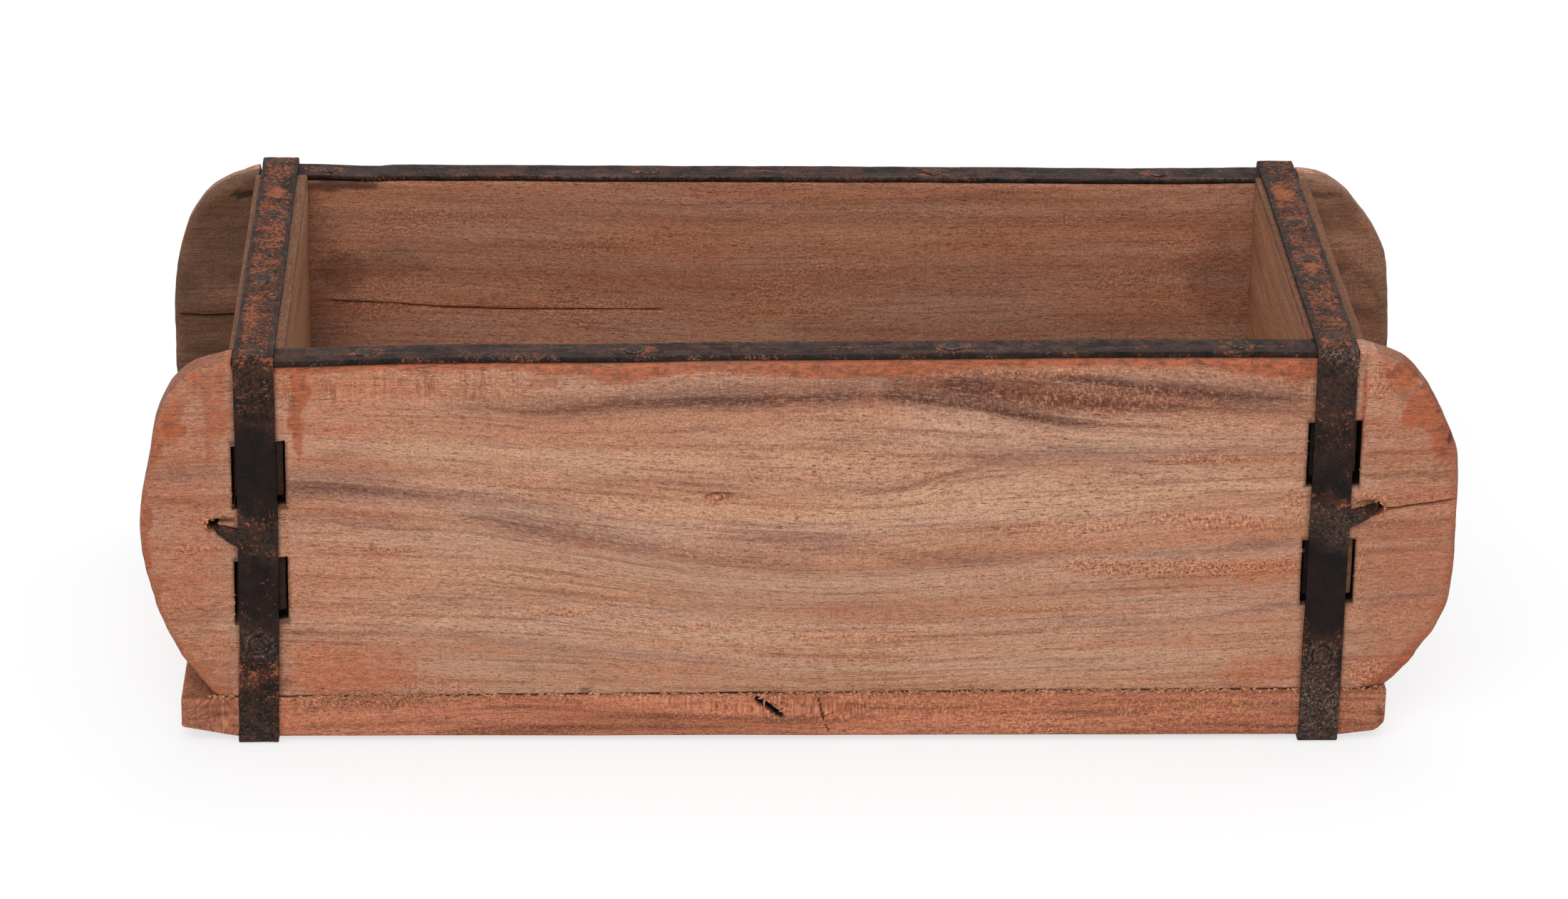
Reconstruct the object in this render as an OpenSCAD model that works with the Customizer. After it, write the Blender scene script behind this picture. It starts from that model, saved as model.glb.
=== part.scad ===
// Nailed hardwood crate in the form of a one-brick mould: two long side boards that end
// in rounded ears, two end boards tenoned through them, a base board, two iron bands
// folded round the whole box and two iron rim strips lapped under the bands.
// Millimetres. The origin is on the ground, under the middle of the overall size.
// The front faces -Y, the left end -X, and +Z is up.

/* [Compartment] */
// Length between the end boards
inner_l = 239; // [180:0.5:320]
// Width between the side boards
inner_w = 112.2; // [90:0.2:170]
// Depth from the rim strips' seats down to the base
inner_h = 85.6; // [76:0.1:130]

/* [Boards] */
// Thickness of the side boards
side_t = 9.2; // [7:0.1:14]
// Thickness of the end boards
end_t = 13; // [11.2:0.1:18]
// Thickness of the base board
base_t = 11.1; // [8:0.1:16]
// Gap left between the end boards and the side boards
board_gap = 0.1; // [0.05:0.05:0.4]

/* [Ears] */
// Reach of the left ears past the left end board's inner face
left_reach = 34.5; // [28:0.5:60]
// Reach of the right ears past the right end board's inner face
right_reach = 36.5; // [28:0.5:60]
// Length of the rounded stretch of the left ears
left_round = 21.7; // [12:0.1:21.7]
// Length of the rounded stretch of the right ears
right_round = 26.2; // [12:0.1:26.2]
// Squareness of the rounded ears, where 2 is an ellipse
ear_power = 2.2; // [2:0.1:4]

/* [Base ends] */
// Reach of the base past the left end board's inner face
left_base_reach = 26; // [18:0.5:50]
// Reach of the base past the right end board's inner face
right_base_reach = 22.1; // [18:0.1:50]
// Length of the worn underside at the base's left end
left_toe_run = 13.4; // [2:0.1:13.4]
// Height of the worn underside at the base's left end
left_toe_rise = 2.5; // [0.5:0.1:5]
// Length of the worn underside at the base's right end
right_toe_run = 9; // [2:0.1:9]
// Height of the worn underside at the base's right end
right_toe_rise = 3.5; // [0.5:0.1:5]

/* [Tenons] */
// Thickness of a tenon
tenon_t = 10.6; // [6:0.1:10.6]
// Height of a tenon
tenon_h = 14.5; // [8:0.1:16]
// Gap between a tenon's inner side and its slot
tenon_gap_in = 0.5; // [0.1:0.1:0.6]
// Gap between a tenon's outer side and its slot
tenon_gap_out = 1.5; // [0.1:0.1:2]
// Gap over a tenon
tenon_gap_over = 0.2; // [0.1:0.1:1]
// Gap under a tenon
tenon_gap_under = 1.7; // [0.1:0.1:2]
// Distance of a tenon's end behind the side board's outer face
tenon_recess = 1.5; // [0.2:0.1:4]
// Height of the left lower slots above the base
left_low_slot = 19.7; // [17:0.1:24]
// Drop of the left upper slots below the rim strips' seats
left_high_slot = 19.6; // [14.4:0.1:22]
// Height of the right lower slots above the base
right_low_slot = 22.2; // [17:0.1:24]
// Drop of the right upper slots below the rim strips' seats
right_high_slot = 16.5; // [14.4:0.1:22]

/* [Iron] */
// Thickness of the bands and rim strips
iron_t = 1.5; // [1:0.1:2.2]
// Width of the bands
band_w = 9.8; // [6:0.1:10.6]
// Distance of the left band's outer edge from the left end board's outer face
left_band_set = 1.1; // [0:0.1:2.4]
// Distance of the right band's outer edge from the right end board's outer face
right_band_set = 2.2; // [0:0.1:2.4]
// Length of each band end folded under the base
under_leg = 34; // [20:0.5:40]
// Distance of a rim strip's edges from the side board's faces
rim_inset = 0.1; // [0:0.1:1]
// Distance of a rim strip's ends from the bands' outer edges
rim_end_set = 0.6; // [0.2:0.1:2]
// Distance of the ends of a rim strip's seat from the bands' outer edges
seat_gap = 0.2; // [0.1:0.1:0.6]

/* [Spurs] */
// Length of the left band's spurs
left_spur_l = 4; // [3:0.1:7]
// Length of the right band's spurs
right_spur_l = 5.5; // [3:0.1:7]
// Height of the left spurs above the base
left_spur_up = 42.4; // [38:0.1:44]
// Height of the right spurs above the base
right_spur_up = 44.5; // [38:0.1:46]
// Rise of a spur from its root to its tip
spur_rise = 1.9; // [0:0.1:3]
// Height of a spur at its root
spur_root_h = 5.2; // [3:0.1:7]
// Height of a spur at its tip
spur_tip_h = 2.5; // [1.5:0.1:3]
// Depth of a spur's point in the wood
spur_depth = 5; // [2:0.1:6]

/* [Nails] */
// Diameter of the nail shanks
shank_d = 2.2; // [1.6:0.1:2.4]
// Diameter of the nail heads
head_d = 5; // [3.6:0.1:6]
// Height of the nail heads
head_h = 0.9; // [0.5:0.1:1.4]
// Length of the nails through the rim strips
rim_nail_l = 16; // [8:0.5:24]
// Length of the nails through the bands on top
top_nail_l = 14.5; // [8:0.5:15.5]
// Length of the nails through the bands' front and back faces
face_nail_l = 26; // [15:0.5:32]
// Length of the nails up through the base
base_nail_l = 26; // [14:0.5:32]
// Length of the nails up through the bands' under ends
under_nail_l = 7; // [4:0.5:8]
// Height of the left face nails above the base
left_face_nail_up = 14; // [6:0.1:14]
// Height of the right face nails above the base
right_face_nail_up = 9.6; // [6:0.1:14]
// Number of nails up through the base into each side board
base_nail_count = 4; // [2:1:6]
// Distance of the outer base nails from the end boards
base_nail_margin = 24; // [10:1:40]
// Distance of an under nail from its band's end
under_nail_set = 8; // [5:0.5:14]
// Gap between a nail and its hole
nail_gap = 0.05; // [0.03:0.01:0.1]

/* [Hidden] */

$fn = 48;
left = -1;
right = 1;
front = -1;
back = 1;
cut = 1;
ear_steps = 40;
toe_steps = 8;

side_wood = "#b27f60";
end_wood = "#8a7059";
base_wood = "#a8694f";
iron = "#45322b";
nail_iron = "#3a2b26";

// Heights from the ground up
base_z = iron_t;
floor_z = base_z + base_t;
rim_z = floor_z + inner_h;
strip_z = rim_z + iron_t;
band_z = strip_z + iron_t;

// Widths from the middle out
wall_y = inner_w / 2;
face_y = wall_y + side_t;
band_y = face_y + iron_t;
side_mid_y = wall_y + side_t / 2;

// Lengths
overall_l = inner_l + left_reach + right_reach;
slot_w = tenon_gap_in + tenon_t + tenon_gap_out;
slot_h = tenon_gap_over + tenon_h + tenon_gap_under;

// Nail shape
shank_r = shank_d / 2;
head_r = head_d / 2;
point_l = 2 * shank_d;
sunk_head_r = 0.46 * head_d;
sunk_head_h = 0.8 * iron_t;
sunk_below = 0.1;

// Places of the hand-set nails, as shares of the length that they are spread along
front_rim_nails_at = [0.08, 0.34, 0.65, 0.93];
back_rim_nails_at = [0.02, 0.36, 0.66, 0.90];
left_top_nails_at = [0.35, 0.73];
right_top_nails_at = [0.31, 0.44, 0.67];
end_base_nails_at = [0.32, 0.68];
// Outward drift of the top nails in the side boards, as shares of half the board
left_top_drift = [0.4, 0.4];
right_top_drift = [-0.4, -0.1];

// Values of one end: the left end is -1 and the right end is +1
function by_end(s, a, b) = s < 0 ? a : b;
function inner_x(s) = s * (overall_l / 2 - by_end(s, left_reach, right_reach));
function outer_x(s) = inner_x(s) + s * end_t;
function band_edge(s) = outer_x(s) - s * by_end(s, left_band_set, right_band_set);
function band_x(s) = band_edge(s) - s * band_w / 2;
function low_slot_z(s) = floor_z + by_end(s, left_low_slot, right_low_slot);
function high_slot_z(s) = rim_z - by_end(s, left_high_slot, right_high_slot) - slot_h;
function slot_zs(s) = [low_slot_z(s), high_slot_z(s)];
function spur_z(s) = floor_z + by_end(s, left_spur_up, right_spur_up);
function along(a, b, share) = a + (b - a) * share;

// Half a superellipse from its lowest to its highest point, bulging towards s
function ear_curve(s, centre_x, mid_z, run, half) = [
    for (i = [0 : ear_steps])
        let (a = -90 + 180 * i / ear_steps)
        [centre_x + s * run * pow(cos(a), 2 / ear_power),
         mid_z + sign(a) * half * pow(abs(sin(a)), 2 / ear_power)]
];

// Quarter of an ellipse that lifts the base's underside towards its end
function toe_curve(s, end_x, run, rise) = [
    for (i = [0 : toe_steps])
        let (a = 90 * i / toe_steps)
        [end_x - s * run * (1 - sin(a)), base_z + rise * (1 - cos(a))]
];

function reversed(list) = [for (i = [len(list) - 1 : -1 : 0]) list[i]];

// Puts a shape drawn for the front on the front or the back
module on_side(f) {
    mirror([0, f > 0 ? 1 : 0, 0]) children();
}

// A nail that hangs down from the underside of its head
module nail(l) {
    rotate_extrude() polygon([
        [0, -l], [shank_r, point_l - l], [shank_r, 0], [head_r, 0],
        [head_r, 0.35 * head_h], [0.6 * head_r, 0.85 * head_h], [0, head_h]
    ]);
}

// The hole that such a nail is driven into
module nail_hole(l) {
    translate([0, 0, -l - nail_gap]) cylinder(r = shank_r + nail_gap, h = l + nail_gap + cut);
}

// The recess for a head that lies below the surface
module head_recess() {
    cylinder(r = head_r + nail_gap, h = head_h + sunk_below + cut);
}

// A nail whose conical head fills its countersink, pointing up from the ground
module sunk_nail(l) {
    rotate_extrude() polygon([
        [0, sunk_below], [sunk_head_r, sunk_below], [shank_r, sunk_head_h],
        [shank_r, l - point_l], [0, l]
    ]);
}

module sunk_nail_hole(l) {
    r = shank_r + nail_gap;
    wide = sunk_head_r + nail_gap;
    rotate_extrude() polygon([
        [0, -cut], [wide, -cut], [wide, sunk_below], [r, sunk_head_h + nail_gap],
        [r, l + nail_gap], [0, l + nail_gap]
    ]);
}

module at_rim_nails(f) {
    shares = f < 0 ? front_rim_nails_at : back_rim_nails_at;
    for (share = shares)
        translate([along(inner_x(left), inner_x(right), share), f * side_mid_y, strip_z]) children();
}

module at_top_nails(s) {
    drift = by_end(s, left_top_drift, right_top_drift);
    for (f = [front, back])
        translate([band_x(s), f * (side_mid_y + drift[f < 0 ? 0 : 1] * side_t / 2), band_z]) children();
    for (share = by_end(s, left_top_nails_at, right_top_nails_at))
        translate([band_x(s), along(-wall_y, wall_y, share), band_z]) children();
}

module at_face_nails(s) {
    up = by_end(s, left_face_nail_up, right_face_nail_up);
    for (f = [front, back])
        on_side(f) translate([band_x(s), -band_y, floor_z + up]) rotate([90, 0, 0]) children();
}

module at_base_nails(f) {
    first = inner_x(left) + base_nail_margin;
    last = inner_x(right) - base_nail_margin;
    for (i = [0 : base_nail_count - 1])
        translate([along(first, last, i / (base_nail_count - 1)), f * side_mid_y, base_z + head_h + sunk_below])
            rotate([180, 0, 0]) children();
}

module at_end_base_nails() {
    for (s = [left, right], share = end_base_nails_at)
        translate([inner_x(s) + s * end_t / 2, along(-wall_y, wall_y, share), base_z + head_h + sunk_below])
            rotate([180, 0, 0]) children();
}

module at_under_nails(s) {
    for (f = [front, back])
        translate([band_x(s), f * (face_y - under_leg + under_nail_set), 0]) children();
}

// The point of a spur, driven into a side board's front face, with room round it
module spur_point(s, room) {
    tip = band_edge(s) + s * by_end(s, left_spur_l, right_spur_l);
    near = tip - s * (iron_t + room);
    far = tip + s * room;
    height = spur_tip_h + 2 * room;
    translate([0, 0, spur_z(s) + spur_rise - height / 2])
        linear_extrude(height) polygon([
            [near, -face_y - iron_t / 2], [far, -face_y - iron_t / 2], [far, -face_y],
            [tip - s * iron_t / 2, spur_depth - face_y + 2 * room], [near, -face_y]
        ]);
}

// A tongue of the band's edge that lies on the wood and ends in the point
module spur(s) {
    edge = band_edge(s);
    tip = edge + s * by_end(s, left_spur_l, right_spur_l);
    translate([0, -face_y, 0]) rotate([90, 0, 0]) linear_extrude(iron_t) polygon([
        [edge - s * band_w / 2, spur_z(s) - spur_root_h / 2], [edge, spur_z(s) - spur_root_h / 2],
        [tip, spur_z(s) + spur_rise - spur_tip_h / 2], [tip, spur_z(s) + spur_rise + spur_tip_h / 2],
        [edge, spur_z(s) + spur_root_h / 2], [edge - s * band_w / 2, spur_z(s) + spur_root_h / 2]
    ]);
    spur_point(s, 0);
}

// Outline of a side board. Between the bands' outer edges its top is cut down by the
// iron's thickness, as a seat for the rim strip, so the ears end flush with the strip.
module side_outline() {
    mid_z = (floor_z + strip_z) / 2;
    half = (strip_z - floor_z) / 2;
    left_ear = ear_curve(left, left_round - overall_l / 2, mid_z, left_round, half);
    right_ear = ear_curve(right, overall_l / 2 - right_round, mid_z, right_round, half);
    seat_low = band_edge(left) - seat_gap;
    seat_high = band_edge(right) + seat_gap;
    difference() {
        polygon(concat(right_ear, reversed(left_ear)));
        translate([seat_low, rim_z]) square([seat_high - seat_low, iron_t + cut]);
    }
}

module slots(s) {
    low_x = min(inner_x(s), inner_x(s) + s * slot_w);
    for (z = slot_zs(s))
        translate([low_x, -face_y - cut, z]) cube([slot_w, side_t + 2 * cut, slot_h]);
}

module side_board(f) {
    color(side_wood) difference() {
        on_side(f) difference() {
            translate([0, -wall_y, 0]) rotate([90, 0, 0]) linear_extrude(side_t) side_outline();
            for (s = [left, right]) {
                slots(s);
                spur_point(s, nail_gap);
            }
        }
        at_rim_nails(f) nail_hole(rim_nail_l);
        at_base_nails(f) nail_hole(base_nail_l);
        for (s = [left, right]) {
            at_top_nails(s) nail_hole(top_nail_l);
            at_face_nails(s) nail_hole(face_nail_l);
        }
    }
}

module tenons(s) {
    low_x = inner_x(s) + (s < 0 ? -tenon_gap_in - tenon_t : tenon_gap_in);
    reach = face_y - tenon_recess;
    for (z = slot_zs(s))
        translate([low_x, -reach, z + tenon_gap_under]) cube([tenon_t, 2 * reach, tenon_h]);
}

module end_board(s) {
    half = wall_y - board_gap;
    color(end_wood) difference() {
        union() {
            translate([min(inner_x(s), outer_x(s)), -half, floor_z])
                cube([end_t, 2 * half, strip_z - floor_z]);
            tenons(s);
        }
        at_top_nails(s) nail_hole(top_nail_l);
        at_face_nails(s) nail_hole(face_nail_l);
        at_end_base_nails() nail_hole(base_nail_l);
    }
}

module base_outline() {
    low_x = inner_x(left) - left_base_reach;
    high_x = inner_x(right) + right_base_reach;
    left_toe = toe_curve(left, low_x, left_toe_run, left_toe_rise);
    right_toe = toe_curve(right, high_x, right_toe_run, right_toe_rise);
    polygon(concat(reversed(left_toe), right_toe, [[high_x, floor_z], [low_x, floor_z]]));
}

module base_board() {
    color(base_wood) difference() {
        translate([0, face_y, 0]) rotate([90, 0, 0]) linear_extrude(2 * face_y) base_outline();
        for (f = [front, back])
            at_base_nails(f) {
                nail_hole(base_nail_l);
                head_recess();
            }
        at_end_base_nails() {
            nail_hole(base_nail_l);
            head_recess();
        }
        for (s = [left, right]) at_under_nails(s) sunk_nail_hole(under_nail_l);
    }
}

module rim_strip(f) {
    low_x = band_edge(left) + rim_end_set;
    high_x = band_edge(right) - rim_end_set;
    width = side_t - 2 * rim_inset;
    color(iron) difference() {
        translate([low_x, f * side_mid_y - width / 2, rim_z]) cube([high_x - low_x, width, iron_t]);
        at_rim_nails(f) nail_hole(rim_nail_l);
        for (s = [left, right]) at_top_nails(s) nail_hole(top_nail_l);
    }
}

// Section of a band: a flat bar folded round the box, its two ends apart under the base
module band_outline() {
    difference() {
        union() {
            translate([-face_y, 0]) square([2 * face_y, band_z]);
            translate([-band_y, iron_t]) square([2 * band_y, band_z - 2 * iron_t]);
            for (f = [front, back], z = [iron_t, band_z - iron_t])
                translate([f * face_y, z]) circle(iron_t);
        }
        translate([-face_y, iron_t]) square([2 * face_y, strip_z - iron_t]);
        translate([under_leg - face_y, -cut]) square([2 * (face_y - under_leg), 2 * cut + iron_t]);
    }
}

module band(s) {
    color(iron) difference() {
        union() {
            translate([band_x(s) - band_w / 2, 0, 0])
                rotate([90, 0, 90]) linear_extrude(band_w) band_outline();
            for (f = [front, back]) on_side(f) spur(s);
        }
        at_top_nails(s) nail_hole(top_nail_l);
        at_face_nails(s) nail_hole(face_nail_l);
        at_under_nails(s) sunk_nail_hole(under_nail_l);
    }
}

module rim_nails(f) {
    color(nail_iron) at_rim_nails(f) nail(rim_nail_l);
}

module top_nails(s) {
    color(nail_iron) at_top_nails(s) nail(top_nail_l);
}

module face_nails(s) {
    color(nail_iron) at_face_nails(s) nail(face_nail_l);
}

module base_nails(f) {
    color(nail_iron) at_base_nails(f) nail(base_nail_l);
}

module end_base_nails() {
    color(nail_iron) at_end_base_nails() nail(base_nail_l);
}

module under_nails(s) {
    color(nail_iron) at_under_nails(s) sunk_nail(under_nail_l);
}

side_board(front);  // front_board
side_board(back);  // back_board
end_board(left);  // left_end_board
end_board(right);  // right_end_board
base_board();
rim_strip(front);  // front_rim_strip
rim_strip(back);  // back_rim_strip
band(left);  // left_band
band(right);  // right_band
rim_nails(front);  // front_rim_nails
rim_nails(back);  // back_rim_nails
top_nails(left);  // left_top_nails
top_nails(right);  // right_top_nails
face_nails(left);  // left_face_nails
face_nails(right);  // right_face_nails
base_nails(front);  // front_base_nails
base_nails(back);  // back_base_nails
end_base_nails();
under_nails(left);  // left_under_nails
under_nails(right);  // right_under_nails
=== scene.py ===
"""Looks of a nailed hardwood crate in the form of a one-brick mould.

Every wooden and iron piece is a surface worked out in millimetres, in the part's own frame,
and becomes metres when its mesh is made. The front faces -Y and the left end -X.
"""
import math

import bmesh
import bpy
import numpy as np
from mathutils import Matrix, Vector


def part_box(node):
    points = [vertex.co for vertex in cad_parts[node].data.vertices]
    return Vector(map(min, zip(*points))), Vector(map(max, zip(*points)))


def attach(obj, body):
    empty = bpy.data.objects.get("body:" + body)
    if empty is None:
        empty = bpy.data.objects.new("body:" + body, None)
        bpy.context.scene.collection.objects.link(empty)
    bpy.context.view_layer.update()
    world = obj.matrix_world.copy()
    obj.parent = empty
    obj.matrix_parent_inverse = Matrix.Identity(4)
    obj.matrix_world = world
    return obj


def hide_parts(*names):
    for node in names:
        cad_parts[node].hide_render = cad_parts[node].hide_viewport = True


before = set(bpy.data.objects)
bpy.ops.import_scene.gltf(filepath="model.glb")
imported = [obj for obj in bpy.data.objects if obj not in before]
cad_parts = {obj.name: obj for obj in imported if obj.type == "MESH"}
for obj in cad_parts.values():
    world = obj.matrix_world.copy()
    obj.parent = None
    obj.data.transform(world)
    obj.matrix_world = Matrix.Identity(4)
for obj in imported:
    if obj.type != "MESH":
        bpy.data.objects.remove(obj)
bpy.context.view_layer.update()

MM = 0.001
LEFT, RIGHT = -1, 1
FRONT, BACK = -1, 1
END_WORDS = {LEFT: "left", RIGHT: "right"}
SIDE_WORDS = {FRONT: "front", BACK: "back"}


def span(node):
    """Lowest and highest corner of a CAD node, in millimetres."""
    low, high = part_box(node)
    return np.array(low) / MM, np.array(high) / MM


board_low, board_high = span("front_board")
base_low, base_high = span("base_board")
strip_low, strip_high = span("front_rim_strip")
band_spans = {LEFT: span("left_band"), RIGHT: span("right_band")}
end_spans = {LEFT: span("left_end_board"), RIGHT: span("right_end_board")}

FACE_Y = -board_low[1]
WALL_Y = -board_high[1]
FLOOR_Z = board_low[2]
EAR_TOP = board_high[2]
SEAT_Z = strip_low[2]
STRIP_Z = strip_high[2]
BAND_Z = band_spans[LEFT][1][2]
BAND_Y = band_spans[LEFT][1][1]
IRON_T = STRIP_Z - SEAT_Z
BOARD_T = FACE_Y - WALL_Y
SIDE_MID_Y = (FACE_Y + WALL_Y) / 2

# Width of a band, and the middle of each
BAND_W = 9.8
BAND_X = {LEFT: band_spans[LEFT][1][0] - BAND_W / 2, RIGHT: band_spans[RIGHT][0][0] + BAND_W / 2}
INNER_X = {LEFT: end_spans[LEFT][1][0], RIGHT: end_spans[RIGHT][0][0]}
OUTER_X = {LEFT: end_spans[LEFT][0][0], RIGHT: end_spans[RIGHT][1][0]}

# Slots for the tenons: width along X, and for each end the lower and the upper slot. A slot has
# its bottom edge and its top edge, each as its height at the slot's inner and outer side.
SLOT_W = 12.6
SLOT_EDGES = {
    LEFT: (((32.4, 30.4), (48.4, 47)), ((61.7, 60.2), (77.9, 76.3))),
    RIGHT: (((35.7, 36.3), (52.5, 52.7)), ((66.3, 66.6), (82.4, 83.1))),
}

# Tenons: width, the wider one that shows in the lower right slot, and height
TENON_W, SEEN_TENON_W, TENON_H = 10.6, 11.7, 14.5
# How far a front tenon stands off the slot's inner side and any tenon off its bottom, and its reach
TENON_IN, TENON_UNDER, TENON_Y = 0.5, 1.7, 63.8

# Places of the nails, and the radii of their shanks and heads
RIM_NAIL_X = {FRONT: (-101.4, -39.2, 34.9, 101.8), BACK: (-115.7, -34.5, 37.2, 94.6)}
TOP_NAIL_Y = {LEFT: (-62.5, -16.8, 25.8, 62.5), RIGHT: (-58.9, -21.3, -6.7, 19.1, 60.2)}
FACE_NAIL_Z = {LEFT: 26.3, RIGHT: 23.4}
UNDER_NAIL_Y = 39.3
BASE_NAIL_X = (-96.5, -32.8, 30.8, 94.5)
END_NAIL_Y = (-20.2, 20.2)
SHANK_R, HEAD_R, FACE_HEAD_R = 1.1, 2.5, 2.2

# Spurs of the bands: how far the tip lies past the band's edge, the heights of the tip and of the
# root, and how much the tongue rises over the straight line between them
SPUR_REACH = {LEFT: 4.7, RIGHT: 6}
SPUR_Z = {LEFT: 55.8, RIGHT: 60.1}
SPUR_ROOT_Z = {LEFT: 54.8, RIGHT: 57.8}
SPUR_LIFT = {LEFT: 0.9, RIGHT: 0}


def by_spur(end, past, over):
    """A place past the tip of a spur along X, and over it."""
    return BAND_X[end] + end * (BAND_W / 2 + SPUR_REACH[end] + past), SPUR_Z[end] + over


SPUR_HOLES = {end: by_spur(end, 0.6, 0.3) for end in (LEFT, RIGHT)}

# Outlines of the ears from the base up to the band: distance from the middle, and height
EARS = {
    (FRONT, LEFT): (
        (137.8, 12), (142.4, 17.4), (146.8, 23.8), (150.4, 31.8), (153.3, 41.8), (154.9, 51.8),
        (154.3, 62.7), (152.1, 74.1), (151, 80.7), (149.1, 86.1), (145.8, 91.7), (140.6, 95.5),
    ),
    (FRONT, RIGHT): (
        (137.7, 13.1), (141.7, 15.6), (145.1, 19.6), (148.6, 24.9), (151.6, 29.8), (153.9, 36),
        (154.9, 45), (154.8, 56), (154.7, 66.6), (154.1, 74), (152.4, 79.2), (150, 84.2),
        (147.4, 89.1), (144.5, 93), (141.8, 96), (138.2, 98.1),
    ),
    (BACK, LEFT): (
        (137.3, 12), (141.4, 14.4), (147.4, 20.9), (151.4, 28.3), (153.9, 36.8), (154.8, 45.8),
        (154.9, 55.8), (154.7, 66.8), (153.8, 74.9), (152.4, 80.7), (150.7, 85.8), (148.2, 90.1),
        (145.4, 93.5), (141, 96.6), (136.9, 98.2),
    ),
    (BACK, RIGHT): (
        (138.2, 13.1), (143.7, 18.5), (148.6, 25.5), (152.1, 33), (154.1, 42), (154.8, 52),
        (154.5, 62), (153.6, 72), (152.9, 77.5), (151.9, 80), (150, 84), (147.5, 87.5),
        (145, 90.6), (142.5, 93.7), (138.7, 96.7), (135.6, 98.1),
    ),
}


def ramp(value, low=0, high=1):
    """Rises from 0 at low to 1 at high as 3t^2 - 2t^3."""
    share = np.clip((value - low) / (high - low), 0, 1)
    return share * share * (3 - 2 * share)


def bell(value, centre, half):
    """A bell of height 1: e to the power of minus the squared share of half."""
    return np.exp(-(((value - centre) / half) ** 2))


def hashed(cell, seed):
    """A number from 0 to 1 for each whole lattice point, mixed by multiplying and shifting 32 bits."""
    full = 0xFFFFFFFF
    mixed = cell[..., 0] * 374761393 + cell[..., 1] * 668265263 + cell[..., 2] * 974711 + seed * 69069
    mixed = mixed & full
    mixed = ((mixed ^ (mixed >> 13)) * 1274126177) & full
    mixed = ((mixed ^ (mixed >> 15)) * 668265263) & full
    return (mixed ^ (mixed >> 16)) / full


def highest(*layers):
    """The greatest of several layers of values at each point."""
    total = layers[0]
    for layer in layers[1:]:
        total = np.maximum(total, layer)
    return total


def noise(points, size, seed=0, octaves=1):
    """Smooth random values from -1 to 1 at points.

    The hashed values of a lattice with cells of the given size are blended by 3f^2 - 2f^3.
    Each further octave halves both the cells and the height.
    """
    total, height, heights = 0.0, 1.0, 0.0
    for octave in range(octaves):
        place = points / (np.ones(3) * size) * 2**octave + 17.31 * octave
        cell = np.floor(place).astype(np.int64)
        share = ramp(place - cell)
        value = 0.0
        for corner in range(8):
            step = np.array([corner & 1, corner >> 1 & 1, corner >> 2])
            weight = np.prod(np.where(step, share, 1 - share), axis=-1)
            value += weight * hashed(cell + step, seed + 31 * octave)
        total += height * (2 * value - 1)
        heights += height
        height /= 2
    return total / heights


def smooth_line(knots, spacing):
    """Points about spacing apart on the Catmull-Rom curve through the knots.

    Between two knots the curve is the cubic blend of them and their two neighbours.
    """
    knots = np.array(knots, float)
    padded = np.concatenate([2 * knots[:1] - knots[1:2], knots, 2 * knots[-1:] - knots[-2:-1]])
    length = np.linalg.norm(np.diff(knots, axis=0), axis=1).sum()
    place = np.linspace(0, len(knots) - 1, int(length / spacing) + 2)
    first = np.minimum(place.astype(int), len(knots) - 2)
    t = (place - first)[:, None]
    a, b, c, d = (padded[first + k] for k in range(4))
    return b + 0.5 * t * (c - a + t * (2 * a - 5 * b + 4 * c - d + t * (3 * (b - c) + d - a)))


def spread(line, shares):
    """Points at the given shares of a line's length."""
    steps = np.linalg.norm(np.diff(line, axis=0), axis=1)
    along = np.concatenate([[0], np.cumsum(steps)]) / steps.sum()
    return np.stack([np.interp(shares, along, line[:, k]) for k in range(line.shape[1])], axis=-1)


def stations(low, high, step, edge_steps=(0.3, 0.8, 1.5)):
    """Places from low to high about a step apart, closer to each other near both ends."""
    inner = np.linspace(low + edge_steps[-1], high - edge_steps[-1], max(2, round((high - low) / step)))
    near = np.array(edge_steps[:-1])
    return np.concatenate([[low], low + near, inner, high - near[::-1], [high]])


def box_levels(low, high, steps):
    """Places along X, Y and Z for the grids of a box, about the three steps apart."""
    return [stations(*extent) for extent in zip(low, high, steps)]


def refined(places, centre, reach, step):
    """Places with finer ones, a step apart, put in within a reach of a centre."""
    kept = places[np.abs(places - centre) > reach + step / 2]
    added = np.arange(centre - reach, centre + reach + step / 2, step)
    return np.sort(np.concatenate([kept, added]))


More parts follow.
